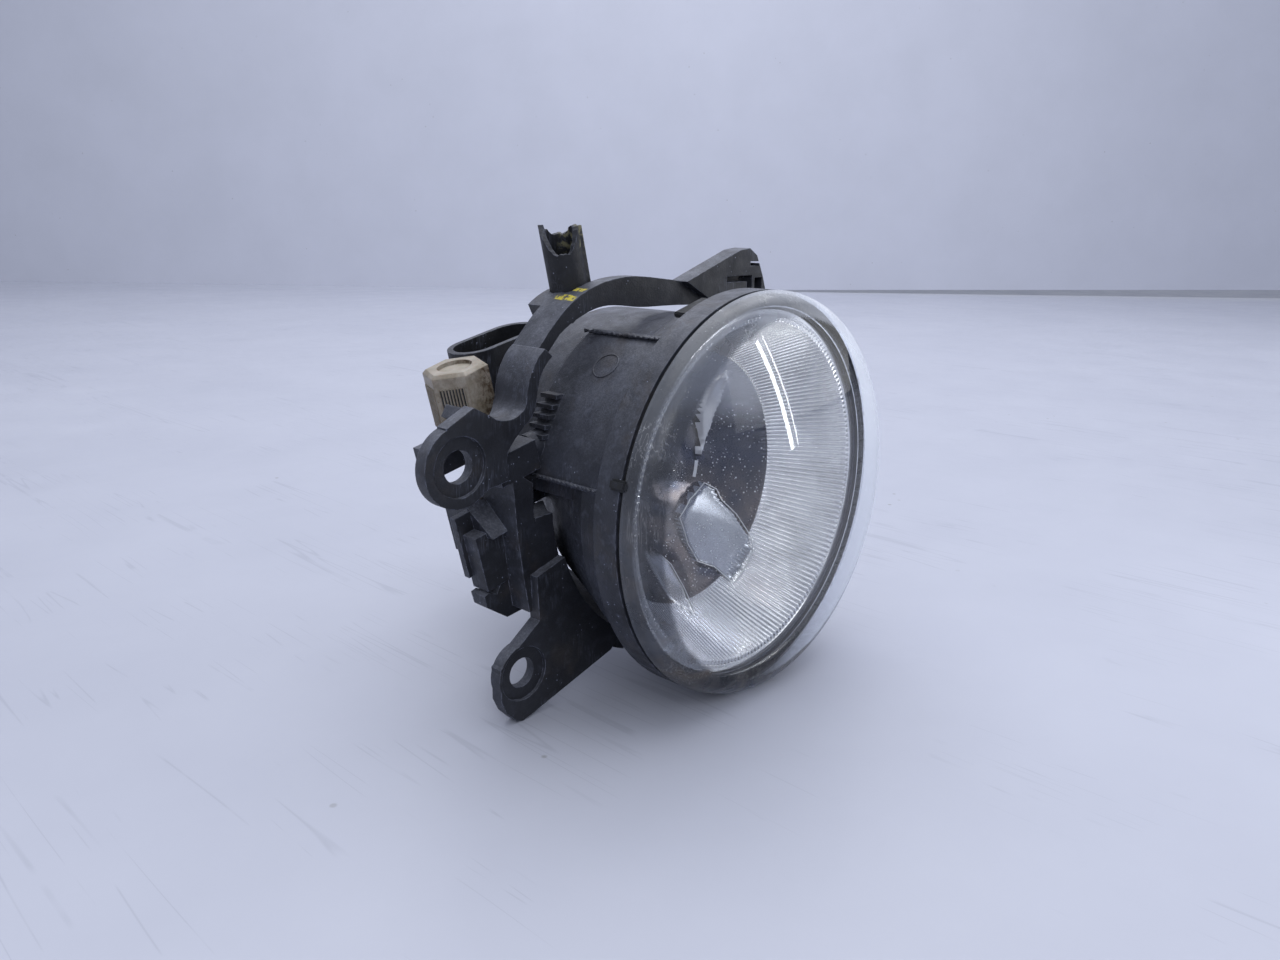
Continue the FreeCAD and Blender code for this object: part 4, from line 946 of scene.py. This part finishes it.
def add_barrel_details(material, dark):
    """Flash along the mould seams, a moulded circle, a clip tab and a notch in the flange."""
    for name, degrees, y0, y1, radius in SEAMS:
        path = [ring_point(BARREL_R + 0.62 * MM, degrees + 0.25 * math.sin(i * 1.7),
                           (y0 + (y1 - y0) * i / 60) * MM) for i in range(61)]
        add_flash(name, path, radius * MM, material)
    circle = []
    for i in range(CIRCLE_STEPS):
        t = 2 * math.pi * i / CIRCLE_STEPS
        degrees = CIRCLE_AT + math.degrees(CIRCLE_R * MM * math.cos(t) / BARREL_R)
        y = (CIRCLE_Y + CIRCLE_R * math.sin(t)) * MM
        circle.append(ring_point(BARREL_R + 0.02 * MM, degrees, y))
    verts, faces = sweep(circle, 0.20 * MM, True)
    new_piece("mould_circle", verts, faces, material, "lamp")
    for name, degrees, width, r0, r1, y0, y1 in BLOCKS:
        a = math.radians(degrees)
        out = Vector((math.cos(a), 0, math.sin(a)))
        along = Vector((-math.sin(a), 0, math.cos(a)))
        corner = out * r0 * MM - along * width * MM / 2 + Vector((0, y0 * MM, 0))
        edges = (along * width * MM, out * (r1 - r0) * MM, Vector((0, (y1 - y0) * MM, 0)))
        slab(name, corner, edges, material if name == "clip_tab" else dark, "lamp")


# ------------------------------------------------------------------ stage
STAGE_SIZE = 6.0
BACKDROP_AWAY = 1.52                 # from the camera
# Area lights: name, place, point that they face, size in metres, watts, colour.
LIGHTS = (("overhead", (0.1, 0.1, 1.1), (0, 0, 0), 1.2, 8.0, (0.97, 0.98, 1.0)),
          ("window", (-0.7, -0.9, 0.75), (0, 0, 0), 0.6, 3.2, (0.95, 0.97, 1.0)),
          ("right fill", (0.75, -0.55, 0.30), (0, 0, 0), 0.7, 1.6, (0.97, 0.98, 1.0)),
          ("far", (0.66, 0.62, 1.0), (0.66, 0.62, 0), 1.0, 5.0, (0.97, 0.98, 1.0)))
STRIPS = ((0.0, 4.5, 0.040), (-9.0, 1.6, 0.008))    # shift and width in mm, watts
STRIP_AT = Vector((0.175, -0.177, 0.030))
STRIP_ALONG = Vector((0.030, 0.018, -0.099))
STRIP_FACES = Vector((-0.010, -0.013, 0.025))       # a point of the lens


def add_stage():
    floor = plane("floor", Vector((0, 0, FLOOR_Z)), Vector((1, 0, 0)), Vector((0, 1, 0)),
                  STAGE_SIZE)
    floor.data.materials.append(wall_paint("table_top", (0.545, 0.565, 0.655, 1),
                                           (0.510, 0.530, 0.620, 1)))
    ahead, right, _ = camera_axes()
    flat = Vector((ahead.x, ahead.y, 0)).normalized()
    foot = Vector((CAM_AT.x, CAM_AT.y, FLOOR_Z)) + flat * BACKDROP_AWAY
    back = plane("backdrop", foot + Vector((0, 0, STAGE_SIZE / 2)), right, Vector((0, 0, 1)),
                 STAGE_SIZE)
    back.data.materials.append(wall_paint("wall", (0.63, 0.65, 0.745, 1),
                                          (0.60, 0.62, 0.71, 1), 0.0))


def plane(name, centre, side, up, size):
    verts = [centre + side * sx * size / 2 + up * sy * size / 2
             for sx, sy in ((-1, -1), (1, -1), (1, 1), (-1, 1))]
    mesh = bpy.data.meshes.new(name)
    mesh.from_pydata([tuple(v) for v in verts], [], [(0, 1, 2, 3)])
    piece = bpy.data.objects.new(name, mesh)
    bpy.context.scene.collection.objects.link(piece)
    return piece


def add_lights():
    for light in LIGHTS:
        area_light(*light)
    for shift, width, watts in STRIPS:
        add_strip(shift * MM, width * MM, watts)
    world = bpy.data.worlds.new("studio")
    bpy.context.scene.world = world
    world.use_nodes = True
    sky = world.node_tree.nodes["Background"]
    sky.inputs["Color"].default_value = (0.66, 0.70, 0.80, 1)
    sky.inputs["Strength"].default_value = 0.62


def add_strip(shift, width, watts):
    """Narrow tube light beside the lamp that leaves a bright streak on the glass."""
    long = STRIP_ALONG.normalized()
    away = (STRIP_AT - STRIP_FACES).normalized()
    out = (away - long * away.dot(long)).normalized()
    side = long.cross(out)
    light = area_light("strip", STRIP_AT, (0, 0, 0), width, watts, (1, 1, 1), STRIP_ALONG.length)
    turn = Matrix((side, long, out)).transposed().to_4x4()
    light.matrix_world = Matrix.Translation(STRIP_AT + side * shift) @ turn


# ------------------------------------------------------------------ assembly
bpy.context.scene.view_settings.view_transform = "Standard"
add_camera()
add_stage()
add_lights()

HOUSING = moulded_plastic("housing_plastic", 0.020, 0.050, 0.42, 0.35 * MM, 0.5, 0.38)
# front=0.45 paints shade on the bracket's faces turned to -Y.
BRACKET = moulded_plastic("bracket_plastic", 0.024, 0.050, 0.50, 0.45 * MM, 0.6, 0.42,
                          front=0.45, marks=yellow_marks)
TUBE = moulded_plastic("tube_plastic", 0.009, 0.018, 0.30, 0.4 * MM, 0.6, 0.42, marks=tube_marks)
SOCKET = moulded_plastic("connector_plastic", 0.007, 0.014, 0.30, 0.4 * MM, 0.7, 0.4)
KNOB = knob_nylon()
STEEL = metal("steel", (0.46, 0.46, 0.47, 1), 0.35)
WIRE = metal("filament_metal", (0.42, 0.41, 0.40, 1), 0.3, 0.1)
BRASS = metal("terminal_brass", (0.66, 0.54, 0.33, 1), 0.3, 0.35)
RUBBER = rubber("seal_black", 0.012)
FELT = felt("filter_felt")
GLASS = clear_glass("bulb_glass", 0.97)
LENS = lens_glass()
# Painted reflections: the smooth zone's low level (0.10) and the facet's grey level (0.48) stand in
# for dark reflections of the room.
BRIGHT = mirror("reflector_mirror", 0.95, 0.06, haze_and_sheen=0.10)
SMOOTH_DARK_REFLECTION = mirror("reflector_smooth", 0.10, 0.07, 0.9, COOL, brown=0.7, sky=0.75)
FACET_PAINT = mirror("reflector_facet", 0.48, 0.12, 0.4, (0.93, 0.97, 1.06), haze_and_sheen=0.04)
# The blade's and the lip's heavy pale veils are painted sheen.
BLADE_SHEEN = mirror("reflector_blade", 0.95, 0.12, haze_and_sheen=0.62)
LIP = mirror("reflector_lip", 0.95, 0.10, 0.1, haze_and_sheen=0.22)

NODE_PAINT = {
    "lens_seal": RUBBER, "housing": HOUSING, "bulb_glass": GLASS,
    "bulb_lead_wires": WIRE, "bulb_collar": STEEL, "bulb_holder": SOCKET, "bulb_ring_seal": RUBBER,
    "connector_terminals": BRASS, "vent_cap": RUBBER, "vent_filter": FELT, "pivot_pins": STEEL,
    "bracket": BRACKET, "adjuster_screw": KNOB, "adjuster_washer": STEEL,
    "adjuster_clip": STEEL, "adjuster_nut": KNOB,
}
for node, paint in NODE_PAINT.items():
    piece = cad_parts[node]
    piece.data.materials.clear()
    piece.data.materials.append(paint)

add_torn_tube(TUBE)
add_filament(WIRE)
add_knob_ribs(KNOB, rubber("knob_gap_dirt_shade", 0.020))
add_barrel_details(HOUSING, RUBBER)
add_lens(LENS, clear_glass("lens_inner", 0.99), lens_rim())
add_reflector((BRIGHT, SMOOTH_DARK_REFLECTION, FACET_PAINT, LIP, BLADE_SHEEN))
add_facet_glints(BLADE_SHEEN)
